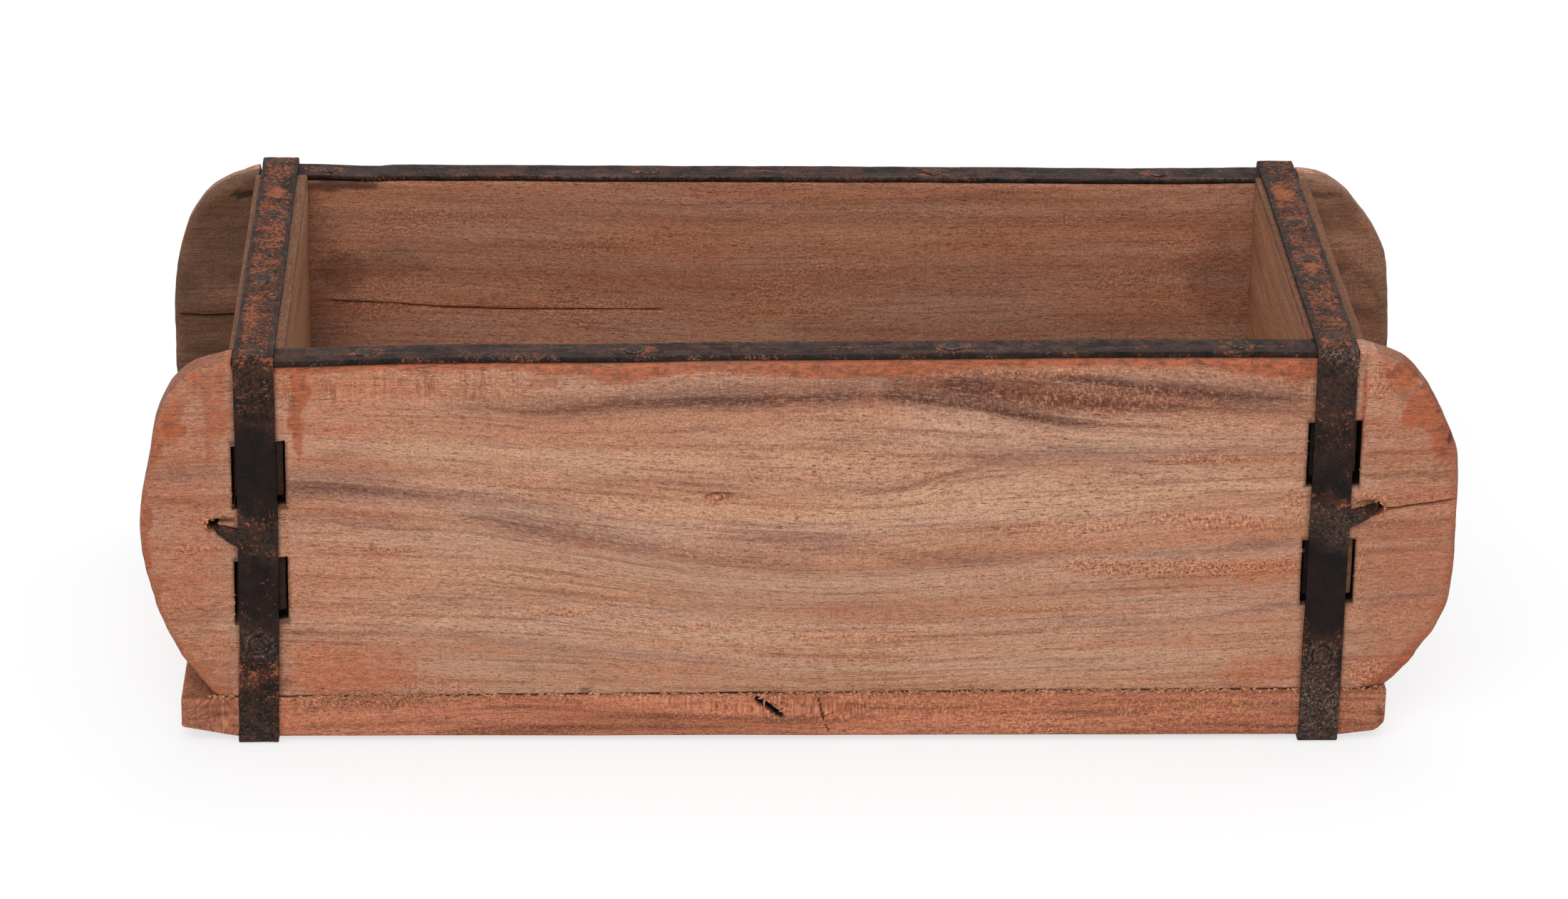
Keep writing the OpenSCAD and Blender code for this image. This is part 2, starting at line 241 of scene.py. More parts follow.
class Shell:
    """Closed surfaces gathered from grids of points. Grids share the points along their seams."""

    def __init__(self):
        self.points = []
        self.triangles = []
        self.count = 0

    def add(self, grid, keep=None):
        """Adds a grid of shape rows, columns, 3. keep says which of its cells are wanted."""
        rows, columns = grid.shape[:2]
        index = self.count + np.arange(rows * columns).reshape(rows, columns)
        corners = index[:-1, :-1], index[:-1, 1:], index[1:, 1:], index[1:, :-1]
        a, b, c, d = (corner.ravel() if keep is None else corner[keep] for corner in corners)
        self.triangles += [np.stack([a, b, c], -1), np.stack([a, c, d], -1)]
        self.points.append(grid.reshape(-1, 3))
        self.count += rows * columns

    def add_tube(self, rings):
        """Adds rings of shape stations, around, 3 as a closed tube with its ends drawn to points."""
        closed = np.concatenate([rings, rings[:, :1]], axis=1)
        first = np.broadcast_to(rings[0].mean(0), closed[:1].shape)
        last = np.broadcast_to(rings[-1].mean(0), closed[:1].shape)
        self.add(np.concatenate([first, closed, last]))

    def add_many(self, rings):
        """Adds an array of shape tubes, stations, around, 3, with each tube's ends drawn to points."""
        rings = np.concatenate([rings, rings[:, :, :1]], axis=2)
        first = np.broadcast_to(rings[:, :1].mean(2, keepdims=True), rings[:, :1].shape)
        last = np.broadcast_to(rings[:, -1:].mean(2, keepdims=True), rings[:, :1].shape)
        rings = np.concatenate([first, rings, last], axis=1)
        index = self.count + np.arange(rings[..., 0].size).reshape(rings.shape[:3])
        a, b = index[:, :-1, :-1].ravel(), index[:, :-1, 1:].ravel()
        c, d = index[:, 1:, 1:].ravel(), index[:, 1:, :-1].ravel()
        self.triangles += [np.stack([a, b, c], -1), np.stack([a, c, d], -1)]
        self.points.append(rings.reshape(-1, 3))
        self.count += len(self.points[-1])

    def add_box(self, low, high, levels, radius):
        """Adds a box with rounded edges. Its six sides share their levels, so their seams meet.

        A point is moved onto a ball of the radius round the nearest point of the inner core.
        """
        low, high = np.array(low, float), np.array(high, float)
        for axis in range(3):
            for end in (low[axis], high[axis]):
                others = [k for k in range(3) if k != axis]
                one, two = np.meshgrid(levels[others[0]], levels[others[1]], indexing="ij")
                side = np.empty(one.shape + (3,))
                side[..., axis] = end
                side[..., others[0]] = one
                side[..., others[1]] = two
                core = np.clip(side, low + radius, high - radius)
                away = side - core
                length = np.linalg.norm(away, axis=-1, keepdims=True)
                self.add(core + away / np.maximum(length, 1e-9) * np.minimum(length, radius))

    def hold(self, low, high):
        """Moves every point that lies outside a box to the box's surface."""
        self.points = [np.clip(points, low, high) for points in self.points]

    def settle(self):
        """Moves every point to where the old box has settled."""
        self.points = [settled(points) for points in self.points]

    def all_points(self):
        """The points of all grids in one array, in the order that they were added."""
        return np.concatenate(self.points)


# How far the rims have risen or sunk, along the front and the back: place along X, and shift
RIM_SHIFTS = {
    FRONT: (
        (-155, -2.7), (-120, -2), (-84, -0.95), (-43, -0.75), (-21, -0.25), (28, 0.1), (70, 0.55),
        (119, 0.6), (155, 0.5),
    ),
    BACK: (
        (-155, -0.5), (-120, -0.4), (-104, -0.8), (-93, -0.5), (-33, -0.7), (19, -0.75), (65, -1),
        (100, -1.1), (119, -0.8), (155, -0.9),
    ),
}
RIM_CURVES = {side: smooth_line(knots, 2) for side, knots in RIM_SHIFTS.items()}
# Rise of the base's top for each millimetre along X, and the height where it starts
FLOOR_TILT = 0.007
UNDERSIDE_Z = base_low[2]


def shift_at(x, y, z):
    """How far the old box has settled: none under the base, an even tilt at the floor, a sagging rim.

    The rim's shift follows smooth curves at the front and the back, and is blended evenly from one
    to the other and from the floor to the rim.
    """
    front, back = (np.interp(x, *RIM_CURVES[side].T) for side in (FRONT, BACK))
    back_share = np.clip((y + WALL_Y) / (2 * WALL_Y), 0, 1)
    rim = front * (1 - back_share) + back * back_share
    above_base = np.clip((z - UNDERSIDE_Z) / (FLOOR_Z - UNDERSIDE_Z), 0, 1)
    height = np.clip((z - FLOOR_Z) / (STRIP_Z - FLOOR_Z), 0, 1)
    return above_base * FLOOR_TILT * x * (1 - height) + height * rim


def settled(points):
    """Points of the straight box moved to where they have settled."""
    moved = points.copy()
    moved[..., 2] += shift_at(points[..., 0], points[..., 1], points[..., 2])
    return moved


def unsettled_height(x, y, z):
    """Height in the straight box of a point that has settled to z, found by two corrections."""
    first = z - shift_at(x, y, z)
    return z - shift_at(x, y, first)


# Points closer than this, in metres, are merged, and shorter edges than the second are dissolved
MERGE_GAP, SHORTEST_EDGE = 2e-6, 1e-7


def make_piece(node, shell, material, slot, layers, sharp=35):
    """Makes a mesh from a shell, with its layers of values at the points, in place of a CAD node.

    The piece is called after the node and the last word of its slot, such as front_board_wood.
    Edges sharper than the given angle in degrees stay sharp.
    """
    name = f"{node}_{slot.split('_')[1]}"
    points = shell.all_points() * MM
    triangles = np.concatenate(shell.triangles).astype(np.int32)
    mesh = bpy.data.meshes.new(name)
    mesh.vertices.add(len(points))
    mesh.vertices.foreach_set("co", points.ravel())
    mesh.loops.add(triangles.size)
    mesh.loops.foreach_set("vertex_index", triangles.ravel())
    mesh.polygons.add(len(triangles))
    mesh.polygons.foreach_set("loop_start", np.arange(0, triangles.size, 3, dtype=np.int32))
    for layer, values in layers.items():
        kind, field = ("FLOAT_VECTOR", "vector") if values.shape[1] == 3 else ("FLOAT_COLOR", "color")
        attribute = mesh.attributes.new(layer, kind, "POINT")
        attribute.data.foreach_set(field, values.astype(np.float32).ravel())
    mesh.update(calc_edges=True)
    work = bmesh.new()
    work.from_mesh(mesh)
    bmesh.ops.remove_doubles(work, verts=work.verts, dist=MERGE_GAP)
    bmesh.ops.dissolve_degenerate(work, edges=work.edges, dist=SHORTEST_EDGE)
    bmesh.ops.recalc_face_normals(work, faces=work.faces)
    work.to_mesh(mesh)
    work.free()
    mesh.shade_smooth()
    mesh.set_sharp_from_angle(angle=math.radians(sharp))
    mesh.materials.append(material)
    piece = bpy.data.objects.new(name, mesh)
    bpy.context.scene.collection.objects.link(piece)
    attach(piece, "root")
    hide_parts(node)


def srgb(red, green, blue):
    """A screen colour from 0 to 255 as the linear colour that a shader takes."""
    share = np.array([red, green, blue]) / 255
    linear = np.where(share <= 0.04045, share / 12.92, ((share + 0.055) / 1.055) ** 2.4)
    return (*linear.tolist(), 1)


class Finish:
    """A procedural material, with short makers for the nodes that the finishes share."""

    def __init__(self, name, roughness, specular, seed=0):
        self.seed = seed
        self.material = bpy.data.materials.new(name)
        self.material.use_nodes = True
        self.nodes = self.material.node_tree.nodes
        self.shader = self.nodes["Principled BSDF"]
        self.shader.inputs["Roughness"].default_value = roughness
        self.shader.inputs["Specular IOR Level"].default_value = specular

    def feed(self, socket, value):
        """Links a socket to another node's output, or sets it to a number or colour."""
        if isinstance(value, bpy.types.NodeSocket):
            self.material.node_tree.links.new(value, socket)
        else:
            socket.default_value = value

    def layer(self, name, output):
        """A layer of values that the mesh carries."""
        node = self.nodes.new("ShaderNodeAttribute")
        node.attribute_name = name
        return node.outputs[output]

    def parts(self, colour):
        """The red, green and blue of a colour as numbers."""
        node = self.nodes.new("ShaderNodeSeparateColor")
        self.feed(node.inputs[0], colour)
        return node.outputs[0], node.outputs[1], node.outputs[2]

    def noise(self, place, size, more, detail=2.0, roughness=0.5):
        """Noise with features of about a size, one number or three. more is added to the seed."""
        seed = self.seed + more
        mapping = self.nodes.new("ShaderNodeMapping")
        mapping.inputs["Location"].default_value = (seed, 1.7 * seed, 2.9 * seed)
        mapping.inputs["Scale"].default_value = 1 / (np.ones(3) * size)
        self.feed(mapping.inputs["Vector"], place)
        node = self.nodes.new("ShaderNodeTexNoise")
        node.inputs["Scale"].default_value = 1
        node.inputs["Detail"].default_value = detail
        node.inputs["Roughness"].default_value = roughness
        self.feed(node.inputs["Vector"], mapping.outputs[0])
        return node.outputs[0]

    def rise(self, value, low, high, least=0, most=1):
        """Goes smoothly from least to most as value goes from low to high."""
        node = self.nodes.new("ShaderNodeMapRange")
        node.interpolation_type = "SMOOTHSTEP"
        for socket, number in zip(node.inputs[1:5], (low, high, least, most)):
            socket.default_value = number
        self.feed(node.inputs[0], value)
        return node.outputs[0]

    def maths(self, operation, first, second):
        """One number from two. Sums may leave the range from 0 to 1, and the others are held in it."""
        node = self.nodes.new("ShaderNodeMath")
        node.operation = operation
        node.use_clamp = operation != "ADD"
        self.feed(node.inputs[0], first)
        self.feed(node.inputs[1], second)
        return node.outputs[0]

    def times(self, first, second):
        """The product of two numbers."""
        return self.maths("MULTIPLY", first, second)

    def plus(self, first, second):
        """The sum of two numbers."""
        return self.maths("ADD", first, second)

    def uneven(self, mask, texture, strength):
        """A mask made ragged: a texture adds to it where it is over a half, times the strength."""
        return self.plus(mask, self.times(self.plus(texture, -0.5), strength))

    def mix(self, share, first, second, blend="MIX"):
        """Goes from the first colour to the second by a share, or blends them in another way."""
        node = self.nodes.new("ShaderNodeMix")
        node.data_type = "RGBA"
        node.blend_type = blend
        self.feed(node.inputs[0], share)
        self.feed(node.inputs[6], first)
        self.feed(node.inputs[7], second)
        return node.outputs[2]

    def coated(self, colour, *coats):
        """Lays coats over a colour, each a mask, a share to multiply it by, and a colour."""
        for mask, share, coat in coats:
            colour = self.mix(self.times(mask, share), colour, coat)
        return colour

    def shaded(self, colour, share, shade):
        """Multiplies a colour by a shade where the share is 0, and leaves it where the share is 1."""
        white = (1, 1, 1, 1)
        return self.mix(1, colour, self.mix(share, shade, white), "MULTIPLY")

    def bump(self, height, distance, strength, under=None):
        """Tilts the surface by a height from 0 to 1 that stands for a distance in millimetres."""
        node = self.nodes.new("ShaderNodeBump")
        node.inputs["Strength"].default_value = strength
        node.inputs["Distance"].default_value = distance * MM
        self.feed(node.inputs["Height"], height)
        if under is not None:
            self.feed(node.inputs["Normal"], under)
        return node.outputs[0]

    def done(self, colour, normal, roughness):
        """Feeds the shader and gives the finished material."""
        self.feed(self.shader.inputs["Base Color"], colour)
        self.feed(self.shader.inputs["Normal"], normal)
        self.feed(self.shader.inputs["Roughness"], roughness)
        return self.material


def saw_chatter(finish, grain, colour, chatter):
    """Broken strokes of a saw across the grain, whose dark strokes are partly painted shade in the
    grooves. Gives the colour, and the dark strokes.
    """
    stroke = finish.noise(grain, (0.7, 7, 2.4), 23)
    broken = finish.rise(finish.noise(grain, (9, 7, 4), 29, detail=1), 0.38, 0.62, 0.2, 1)
    dark = finish.times(finish.times(chatter, broken), finish.rise(stroke, 0.5, 0.7))
    light = finish.times(chatter, finish.rise(stroke, 0.48, 0.36))
    colour = finish.coated(
        colour, (chatter, 0.35, srgb(192, 118, 82)), (dark, 0.3, srgb(134, 80, 56)),
        (light, 0.34, srgb(216, 150, 114)),
    )
    return colour, dark


def torn_fibres(finish, grain, colour, torn):
    """Pale tufts of torn wood and painted shade in the gaps between them. Gives the colour, and the
    tufts.
    """
    tuft = finish.noise(grain, (0.6, 0.85, 0.7), 8)
    pale = finish.times(torn, finish.rise(tuft, 0.51, 0.6))
    dark = finish.times(torn, finish.rise(tuft, 0.46, 0.37))
    colour = finish.coated(
        colour, (torn, 0.4, srgb(200, 128, 90)), (pale, 0.9, srgb(238, 170, 128)),
        (dark, 0.8, srgb(132, 74, 48)),
    )
    return colour, finish.times(torn, tuft)


def open_pores(finish, grain, colour, smear):
    """Short pores and long hairlines along the grain. Gives the colour, and the openings."""
    pore = finish.noise(grain, (2, 0.21, 0.4), 17, detail=1)
    crowd = finish.noise(grain, (28, 7, 7), 19)
    pores = finish.times(finish.rise(pore, 0.66, 0.71), finish.rise(crowd, 0.34, 0.6, 0.3, 1))
    hairs = finish.rise(finish.noise(grain, (13, 0.2, 0.5), 29, detail=1), 0.73, 0.77)
    opened = finish.plus(finish.times(pores, 0.8), finish.times(hairs, 0.35))
    shade = finish.mix(finish.rise(smear, 0.42, 0.58), srgb(66, 36, 26), srgb(138, 70, 42))
    return finish.mix(opened, colour, shade), opened


def wood(name, seed, pale, middle, deep):
    """Open-pored hardwood.

    Its grain layer holds millimetres along, across and into the grain. Its marks layer holds clay,
    dark figure, torn grain, and grime with painted shade, and its tints layer smoky streaks, light
    streaks, saw chatter and an orange flush.
    """
    finish = Finish(name, roughness=0.74, specular=0.2, seed=seed)
    grain = finish.layer("grain", "Vector")
    clay, figure, torn = finish.parts(finish.layer("marks", "Color"))
    grime_and_shade = finish.layer("marks", "Alpha")
    smoke, light, chatter = finish.parts(finish.layer("tints", "Color"))
    flush = finish.layer("tints", "Alpha")

    bands = finish.noise(grain, (110, 6, 6), 0, detail=3)
    streaks = finish.noise(grain, (36, 0.9, 1.2), 3, detail=4, roughness=0.62)
    fibres = finish.noise(grain, (3.6, 0.14, 0.2), 5, roughness=0.6)
    fuzz = finish.noise(grain, (0.6, 0.3, 0.35), 7, roughness=0.65)
    smear = finish.noise(grain, (2.4, 1.2, 1.2), 13, detail=3, roughness=0.65)
    speck = finish.noise(grain, (1.4, 0.36, 0.5), 41, roughness=0.55)

    colour = finish.mix(finish.rise(bands, 0.34, 0.7), pale, middle)
    colour = finish.mix(finish.rise(streaks, 0.47, 0.7, 0, 0.62), colour, deep)
    spots = finish.rise(finish.noise(grain, (1.5, 0.5, 0.6), 37), 0.38, 0.6, 0.6, 1.2)
    strands = finish.times(finish.rise(streaks, 0.25, 0.56, 0.65, 1.2), spots)
    colour = finish.coated(
        colour, (light, finish.rise(streaks, 0.68, 0.38, 0.1, 0.85), srgb(218, 178, 142)),
        (flush, finish.rise(smear, 0.25, 0.6, 0.3, 0.85), srgb(186, 104, 68)),
        (smoke, strands, srgb(110, 76, 70)), (figure, strands, srgb(60, 34, 28)),
    )

    colour, strokes_cut = saw_chatter(finish, grain, colour, chatter)
    colour, tufts = torn_fibres(finish, grain, colour, torn)
    colour = finish.mix(finish.rise(speck, 0.58, 0.68, 0, 0.3), colour, srgb(228, 168, 130))
    colour = finish.mix(finish.rise(speck, 0.42, 0.32, 0, 0.5), colour, srgb(116, 74, 58))

    cover = finish.rise(finish.uneven(clay, smear, 0.9), 0.12, 0.9)
    cover = finish.times(cover, finish.rise(fuzz, 0.28, 0.56, 0.62, 1))
    daub = finish.mix(finish.rise(smear, 0.36, 0.62), srgb(130, 68, 42), srgb(184, 98, 62))
    # Grime and painted shade darken the wood. Where they are strongest the wood turns near black, a
    # painted shadow deep in the slots and on the hidden tenons.
    dirt_and_shade = finish.rise(finish.uneven(grime_and_shade, smear, 0.5), 0.04, 0.98)
    colour = finish.coated(colour, (cover, 0.82, daub), (dirt_and_shade, 0.9, srgb(64, 43, 27)))
    colour = finish.mix(finish.rise(grime_and_shade, 0.86, 0.99), colour, srgb(15, 10, 8))

    colour = finish.shaded(colour, finish.rise(fibres, 0.32, 0.66), srgb(230, 221, 216))
    colour = finish.shaded(colour, finish.rise(fuzz, 0.34, 0.64), srgb(218, 208, 203))
    colour, opened = open_pores(finish, grain, colour, smear)

    normal = finish.bump(fibres, 0.10, 0.8)
    normal = finish.bump(fuzz, 0.14, 0.8, normal)
    normal = finish.bump(opened, -0.25, 0.9, normal)
    normal = finish.bump(strokes_cut, -0.5, 0.9, normal)
    normal = finish.bump(tufts, 1, 0.9, normal)
    return finish.done(colour, normal, finish.rise(streaks, 0.3, 0.7, 0.66, 0.82))


def iron(name, seed, scale_black, oxide, rust):
    """Rusted hoop iron.

    Its grain layer holds millimetres, and its marks layer holds rust flecks, worn blue-grey metal,
    smooth black and pale salts.
    """
    finish = Finish(name, roughness=0.62, specular=0.1, seed=seed)
    place = finish.layer("grain", "Vector")
    flecked, worn, black = finish.parts(finish.layer("marks", "Color"))
    salted = finish.layer("marks", "Alpha")

    cloud = finish.noise(place, 4.5, 0, detail=4, roughness=0.62)
    crust = finish.noise(place, 1.1, 3, detail=4, roughness=0.7)
    fleck = finish.noise(place, 0.8, 5, detail=3, roughness=0.72)
    salt = finish.noise(place, 0.5, 9, roughness=0.7)
    colour = finish.mix(finish.rise(cloud, 0.38, 0.6), scale_black, oxide)
    colour = finish.mix(finish.rise(crust, 0.44, 0.62, 0, 0.6), colour, scale_black)
    bare = finish.times(worn, finish.rise(crust, 0.60, 0.42))
    smooth = finish.rise(crust, 0.4, 0.66, 0.95, 0.6)
    mingled = finish.plus(finish.times(fleck, 0.65), finish.times(crust, 0.35))
    flecks = finish.rise(finish.plus(mingled, finish.times(flecked, 0.4)), 0.74, 0.86)
    ruddy = finish.plus(flecked, finish.times(finish.plus(finish.plus(fleck, crust), -1), 1.4))
    tinge = finish.mix(finish.rise(ruddy, 0.45, 1.3), finish.mix(0.4, oxide, rust), rust)
    pits = finish.times(flecked, finish.rise(salt, 0.45, 0.36))
    specks = finish.times(salted, finish.rise(salt, 0.55, 0.64))
    colour = finish.coated(
        colour, (bare, 0.8, srgb(86, 76, 72)), (black, smooth, srgb(17, 12, 11)), (flecks, 0.85, tinge),
        (pits, 0.6, oxide), (specks, 0.7, srgb(140, 122, 106)),
    )

    normal = finish.bump(cloud, 0.5, 0.7)
    normal = finish.bump(crust, 0.3, 0.9, normal)
    normal = finish.bump(fleck, 0.16, 0.9, normal)
    return finish.done(colour, normal, finish.rise(black, 0.3, 0.9, 0.66, 0.46))


side_wood = wood("side_wood", 2, srgb(196, 161, 138), srgb(186, 137, 109), srgb(128, 90, 77))
end_wood = wood("end_wood", 31, srgb(204, 163, 130), srgb(184, 139, 106), srgb(132, 95, 72))
base_wood = wood("base_wood", 57, srgb(210, 144, 116), srgb(182, 116, 89), srgb(106, 66, 53))
band_iron = iron("band_iron", 5, srgb(20, 13, 11), srgb(60, 36, 27), srgb(160, 90, 58))
strip_iron = iron("strip_iron", 23, srgb(22, 15, 12), srgb(70, 45, 36), srgb(148, 86, 58))
nail_iron = iron("nail_iron", 41, srgb(28, 20, 17), srgb(68, 44, 34), srgb(124, 72, 48))


# Stands for a distance that isn't worked out
FAR = 99


def outline_gap(places, outline, keep):
    """Distance from each kept place to the nearest point of an outline, and FAR for the others."""
    gaps = np.full(len(places), float(FAR))
    for few in np.array_split(np.flatnonzero(keep), 12):
        away = places[few][:, None] - outline[None]
        gaps[few] = np.sqrt((away**2).sum(-1).min(1))
    return gaps


def rounded(gap, radius):
    """How far a quarter circle of the radius falls away at a gap from the edge."""
    short = np.clip(radius - gap, 0, radius)
    return radius - np.sqrt(np.maximum(radius**2 - short**2, 0))


# Room between the splinters and the bands' front plane
SLIVER_ROOM = 0.5


def slivers(places, ahead, out, length, curl, seed):
    """Curled splinters: four-sided strips of random length, bend and width that narrow to a tip.

    A strip runs from its place, ahead by its length times the share s, out of the wood by the curl
    times s squared and aside by its turn times s squared. Both widths shrink with the square root
    of 1 - s. The strips stay behind the bands' front plane.
    """
    random = np.random.default_rng(seed)
    count = len(places)
    ahead = ahead + 0.35 * random.standard_normal((count, 3))
    ahead /= np.linalg.norm(ahead, axis=1, keepdims=True)
    aside = np.cross(ahead, out)
    aside /= np.linalg.norm(aside, axis=1, keepdims=True)
    s = np.linspace(0, 0.96, 5)[:, None]
    long = (length * random.uniform(0.5, 1.5, count))[:, None, None]
    bend = (curl * random.uniform(0.2, 1.6, count))[:, None, None]
    turn = random.uniform(-0.9, 0.9, count)[:, None, None]
    middle = places[:, None] + ahead[:, None] * long * s + out * bend * s**2
    middle += aside[:, None] * turn * long * s**2
    middle[..., 1] = np.maximum(middle[..., 1], SLIVER_ROOM - BAND_Y)
    wide = length * (0.15 + 0.2 * random.random(count))[:, None, None] * np.sqrt(1 - s)
    corners = ((1, 0), (0, 0.5), (-1, 0), (0, -0.5))
    edges = [middle + aside[:, None] * wide * a + out * wide * b for a, b in corners]
    return np.stack(edges, axis=2)


# Outer side of the slots, and the ends of the strips' seats, just past the bands
SLOT_OUTER_X = {end: INNER_X[end] + end * SLOT_W for end in (LEFT, RIGHT)}
SEAT_END_X = {end: BAND_X[end] + end * (BAND_W / 2 + 0.2) for end in (LEFT, RIGHT)}

# Rows of a side board's grid: rough heights of the slots' edges, for the spacing of the rows alone,
# the gap between rows, the smaller one at the cracks and spurs, and the row along the board's edge
ROW_EDGES = (FLOOR_Z, 32.3, 48.7, 62.2, 78.6, EAR_TOP)
ROW_GAP, CRACK_ROW_GAP, EDGE_ROW = 1, 0.4, 0.3
# The stretch with the spurs, the one over it with cracks in its lowest part, that part's height, and
# how far the other rows make room for the edge's row
SPUR_STRETCH, CRACK_STRETCH, CRACK_PART, EDGE_ROOM = 2, 3, 5.5, 0.2
# An ear's columns as shares of the way to the slots: step, places near both ends, and the finer ones
# at the spur's hole
EAR_STEP, EAR_NEAR, HOLE_COLUMNS = 0.05, (0.014, 0.036, 0.07), (0.79, 0.15, 0.02)
# Heights of two rows at the slots, and where the same rows meet the ear's outline
SLOT_LEVELS, OUTLINE_LEVELS = (34, 80), (36, 80)
# Reach and step of the finer columns round a gouge
GOUGE_COLUMNS = 4, 0.4
# Columns between the end boards and across a slot, and how many cells the round of the edge takes up
MIDDLE_COLUMNS, SLOT_COLUMNS, EDGE_CELLS = 212, 14, 7
# Half width of a crack, and rows of a wall from the outer to the inner face
CRACK_HALF, WALL_ROWS = 0.26, 8
# Where an ear's lower edge goes over into its outer edge, over the floor, and the same for the upper
EAR_FOOT, EAR_BROW = 11, 7
# The wear of the walls goes away from this place in each half of the board: distance and height
WEAR_X, WEAR_Z = 125, 53


def row_levels():
    """Rows of a side board: the number of the stretch between two slot edges, and the share of it."""
    stretches = []
    last = len(ROW_EDGES) - 2
    for number, (bottom, top) in enumerate(zip(ROW_EDGES, ROW_EDGES[1:])):
        step = CRACK_ROW_GAP if number == SPUR_STRETCH else ROW_GAP
        places = np.linspace(bottom, top, round((top - bottom) / step) + 1)
        if number == 0:
            lowered = places[1:] - EDGE_ROOM * (top - places[1:]) / (top - bottom)
            places = np.concatenate([[bottom, bottom + EDGE_ROW], lowered])
        if number == CRACK_STRETCH:
            finer = np.arange(bottom, bottom + CRACK_PART, CRACK_ROW_GAP)
            places = np.concatenate([finer, places[6:]])
        if number == last:
            raised = places[:-1] + EDGE_ROOM * (places[:-1] - bottom) / (top - bottom)
            places = np.concatenate([raised, [top - EDGE_ROW, top]])
        shares = (places - bottom) / (top - bottom)
        stretches += [(number, share) for share in shares[: None if number == last else -1]]
    return np.array(stretches)


def row_heights(rows, x, side):
    """Settled height of each row at each x. The slot edges' heights change evenly between slots."""
    y = side * SIDE_MID_Y
    places = [SLOT_OUTER_X[LEFT], INNER_X[LEFT], INNER_X[RIGHT], SLOT_OUTER_X[RIGHT]]
    seat = (x > SEAT_END_X[LEFT]) & (x < SEAT_END_X[RIGHT])
    edges = [FLOOR_Z + shift_at(x, y, FLOOR_Z)]
    for slot, edge in ((0, 0), (0, 1), (1, 0), (1, 1)):
        (left_in, left_out), right = SLOT_EDGES[LEFT][slot][edge], SLOT_EDGES[RIGHT][slot][edge]
        edges.append(np.interp(x, places, [left_out, left_in, *right]))
    top = np.where(seat, SEAT_Z, EAR_TOP)
    edges.append(top + shift_at(x, y, top))
    edges = np.array(edges)
    number = rows[:, 0].astype(int)
    return edges[number] + rows[:, 1:] * (edges[number + 1] - edges[number])


def ear_grid(knots, end, rows, side):
    """Grid of an ear between its outline and the slots, as a patch blended from its four edges.

    The outline is split into the grid's lower, outer and upper edge. A point is the straight blend
    of the outer edge and the slots' line, plus the lower and upper edges' own bends, which fade
    with the fourth power of the share of the height.
    """
    slot_x = abs(SLOT_OUTER_X[end])
    slot_z = row_heights(rows, np.array([end * slot_x]), side)[:, 0]
    floor_z, top_z = slot_z[0], slot_z[-1]
    line = smooth_line([(slot_x, floor_z), *knots, (slot_x, top_z)], 0.3)
    low_corner = np.argmax(line[:, 1] > floor_z + EAR_FOOT)
    high_corner = np.argmax(line[:, 1] > top_z - EAR_BROW)
    across = stations(0, 1, EAR_STEP, EAR_NEAR)
    across = refined(across, *HOLE_COLUMNS)[:, None]
    lower = spread(line[: low_corner + 1][::-1], across[:, 0])
    upper = spread(line[high_corner:], across[:, 0])
    outer = line[low_corner : high_corner + 1]
    levels = [lower[0, 1], *OUTLINE_LEVELS, upper[0, 1]]
    heights = np.interp(slot_z, [floor_z, *SLOT_LEVELS, top_z], levels)
    edge = np.stack([np.interp(heights, outer[:, 1], outer[:, 0]), heights], -1)
    edge[0], edge[-1] = lower[0], upper[0]
    slots = np.stack([np.full_like(slot_z, slot_x), slot_z], -1)
    grid = edge[:, None] * (1 - across) + slots[:, None] * across
    up = ((slot_z - floor_z) / (top_z - floor_z))[:, None, None]
    grid += (1 - up) ** 4 * (lower - (lower[:1] * (1 - across) + lower[-1:] * across))
    grid += up**4 * (upper - (upper[:1] * (1 - across) + upper[-1:] * across))
    grid[..., 0] *= end
    return (grid if end == LEFT else grid[:, ::-1]), line * (end, 1)


def bend_rows(flat, line):
    """Pulls the row of a grid that is nearest to a crack onto it, and the rows beside it less."""
    x, z = flat[..., 0], flat[..., 1]
    path = np.interp(x, line[:, 0], line[:, 1])
    on_path = (x[0] > line[0, 0] - 2) & (x[0] < line[-1, 0] + 2)
    near = np.abs(z - path)[:, on_path].mean(1).argmin()
    pull = (path - z)[near]
    reach = 40 + np.ptp(line[:, 0]) / 2
    z += pull * bell(z, z[near][None], 4) * bell(x, line[:, 0].mean(), reach)


def board_grid(side, cracks, gouges):
    """Rows of a side board, its grid of places (x, z) from ear to ear, and its outline."""
    rows = row_levels()
    left_ear, left_line = ear_grid(EARS[side, LEFT], LEFT, rows, side)
    right_ear, right_line = ear_grid(EARS[side, RIGHT], RIGHT, rows, side)
    step = (INNER_X[RIGHT] - INNER_X[LEFT]) / MIDDLE_COLUMNS
    middle = np.arange(INNER_X[LEFT], INNER_X[RIGHT] + 0.1, step)
    for _, gouge_x, *_ in gouges:
        if abs(gouge_x) < BAND_X[RIGHT] - BAND_W:
            middle = refined(middle, gouge_x, *GOUGE_COLUMNS)
    left_slot = np.linspace(SLOT_OUTER_X[LEFT], INNER_X[LEFT], SLOT_COLUMNS)
    right_slot = np.linspace(INNER_X[RIGHT], SLOT_OUTER_X[RIGHT], SLOT_COLUMNS)
    seat_steps = [SEAT_END_X[end] + beside for end in (LEFT, RIGHT) for beside in (-0.1, 0.1)]
    x = np.unique(np.round(np.concatenate([left_slot, middle, right_slot, seat_steps]), 4))
    z = row_heights(rows, x, side)
    body = np.stack([np.broadcast_to(x, z.shape), z], -1)
    flat = np.concatenate([left_ear[:, :-1], body, right_ear[:, 1:]], axis=1)
    for _, line, _ in cracks:
        bend_rows(flat, line)
    return rows, flat, np.concatenate([left_line, flat[-1], right_line, flat[0]])


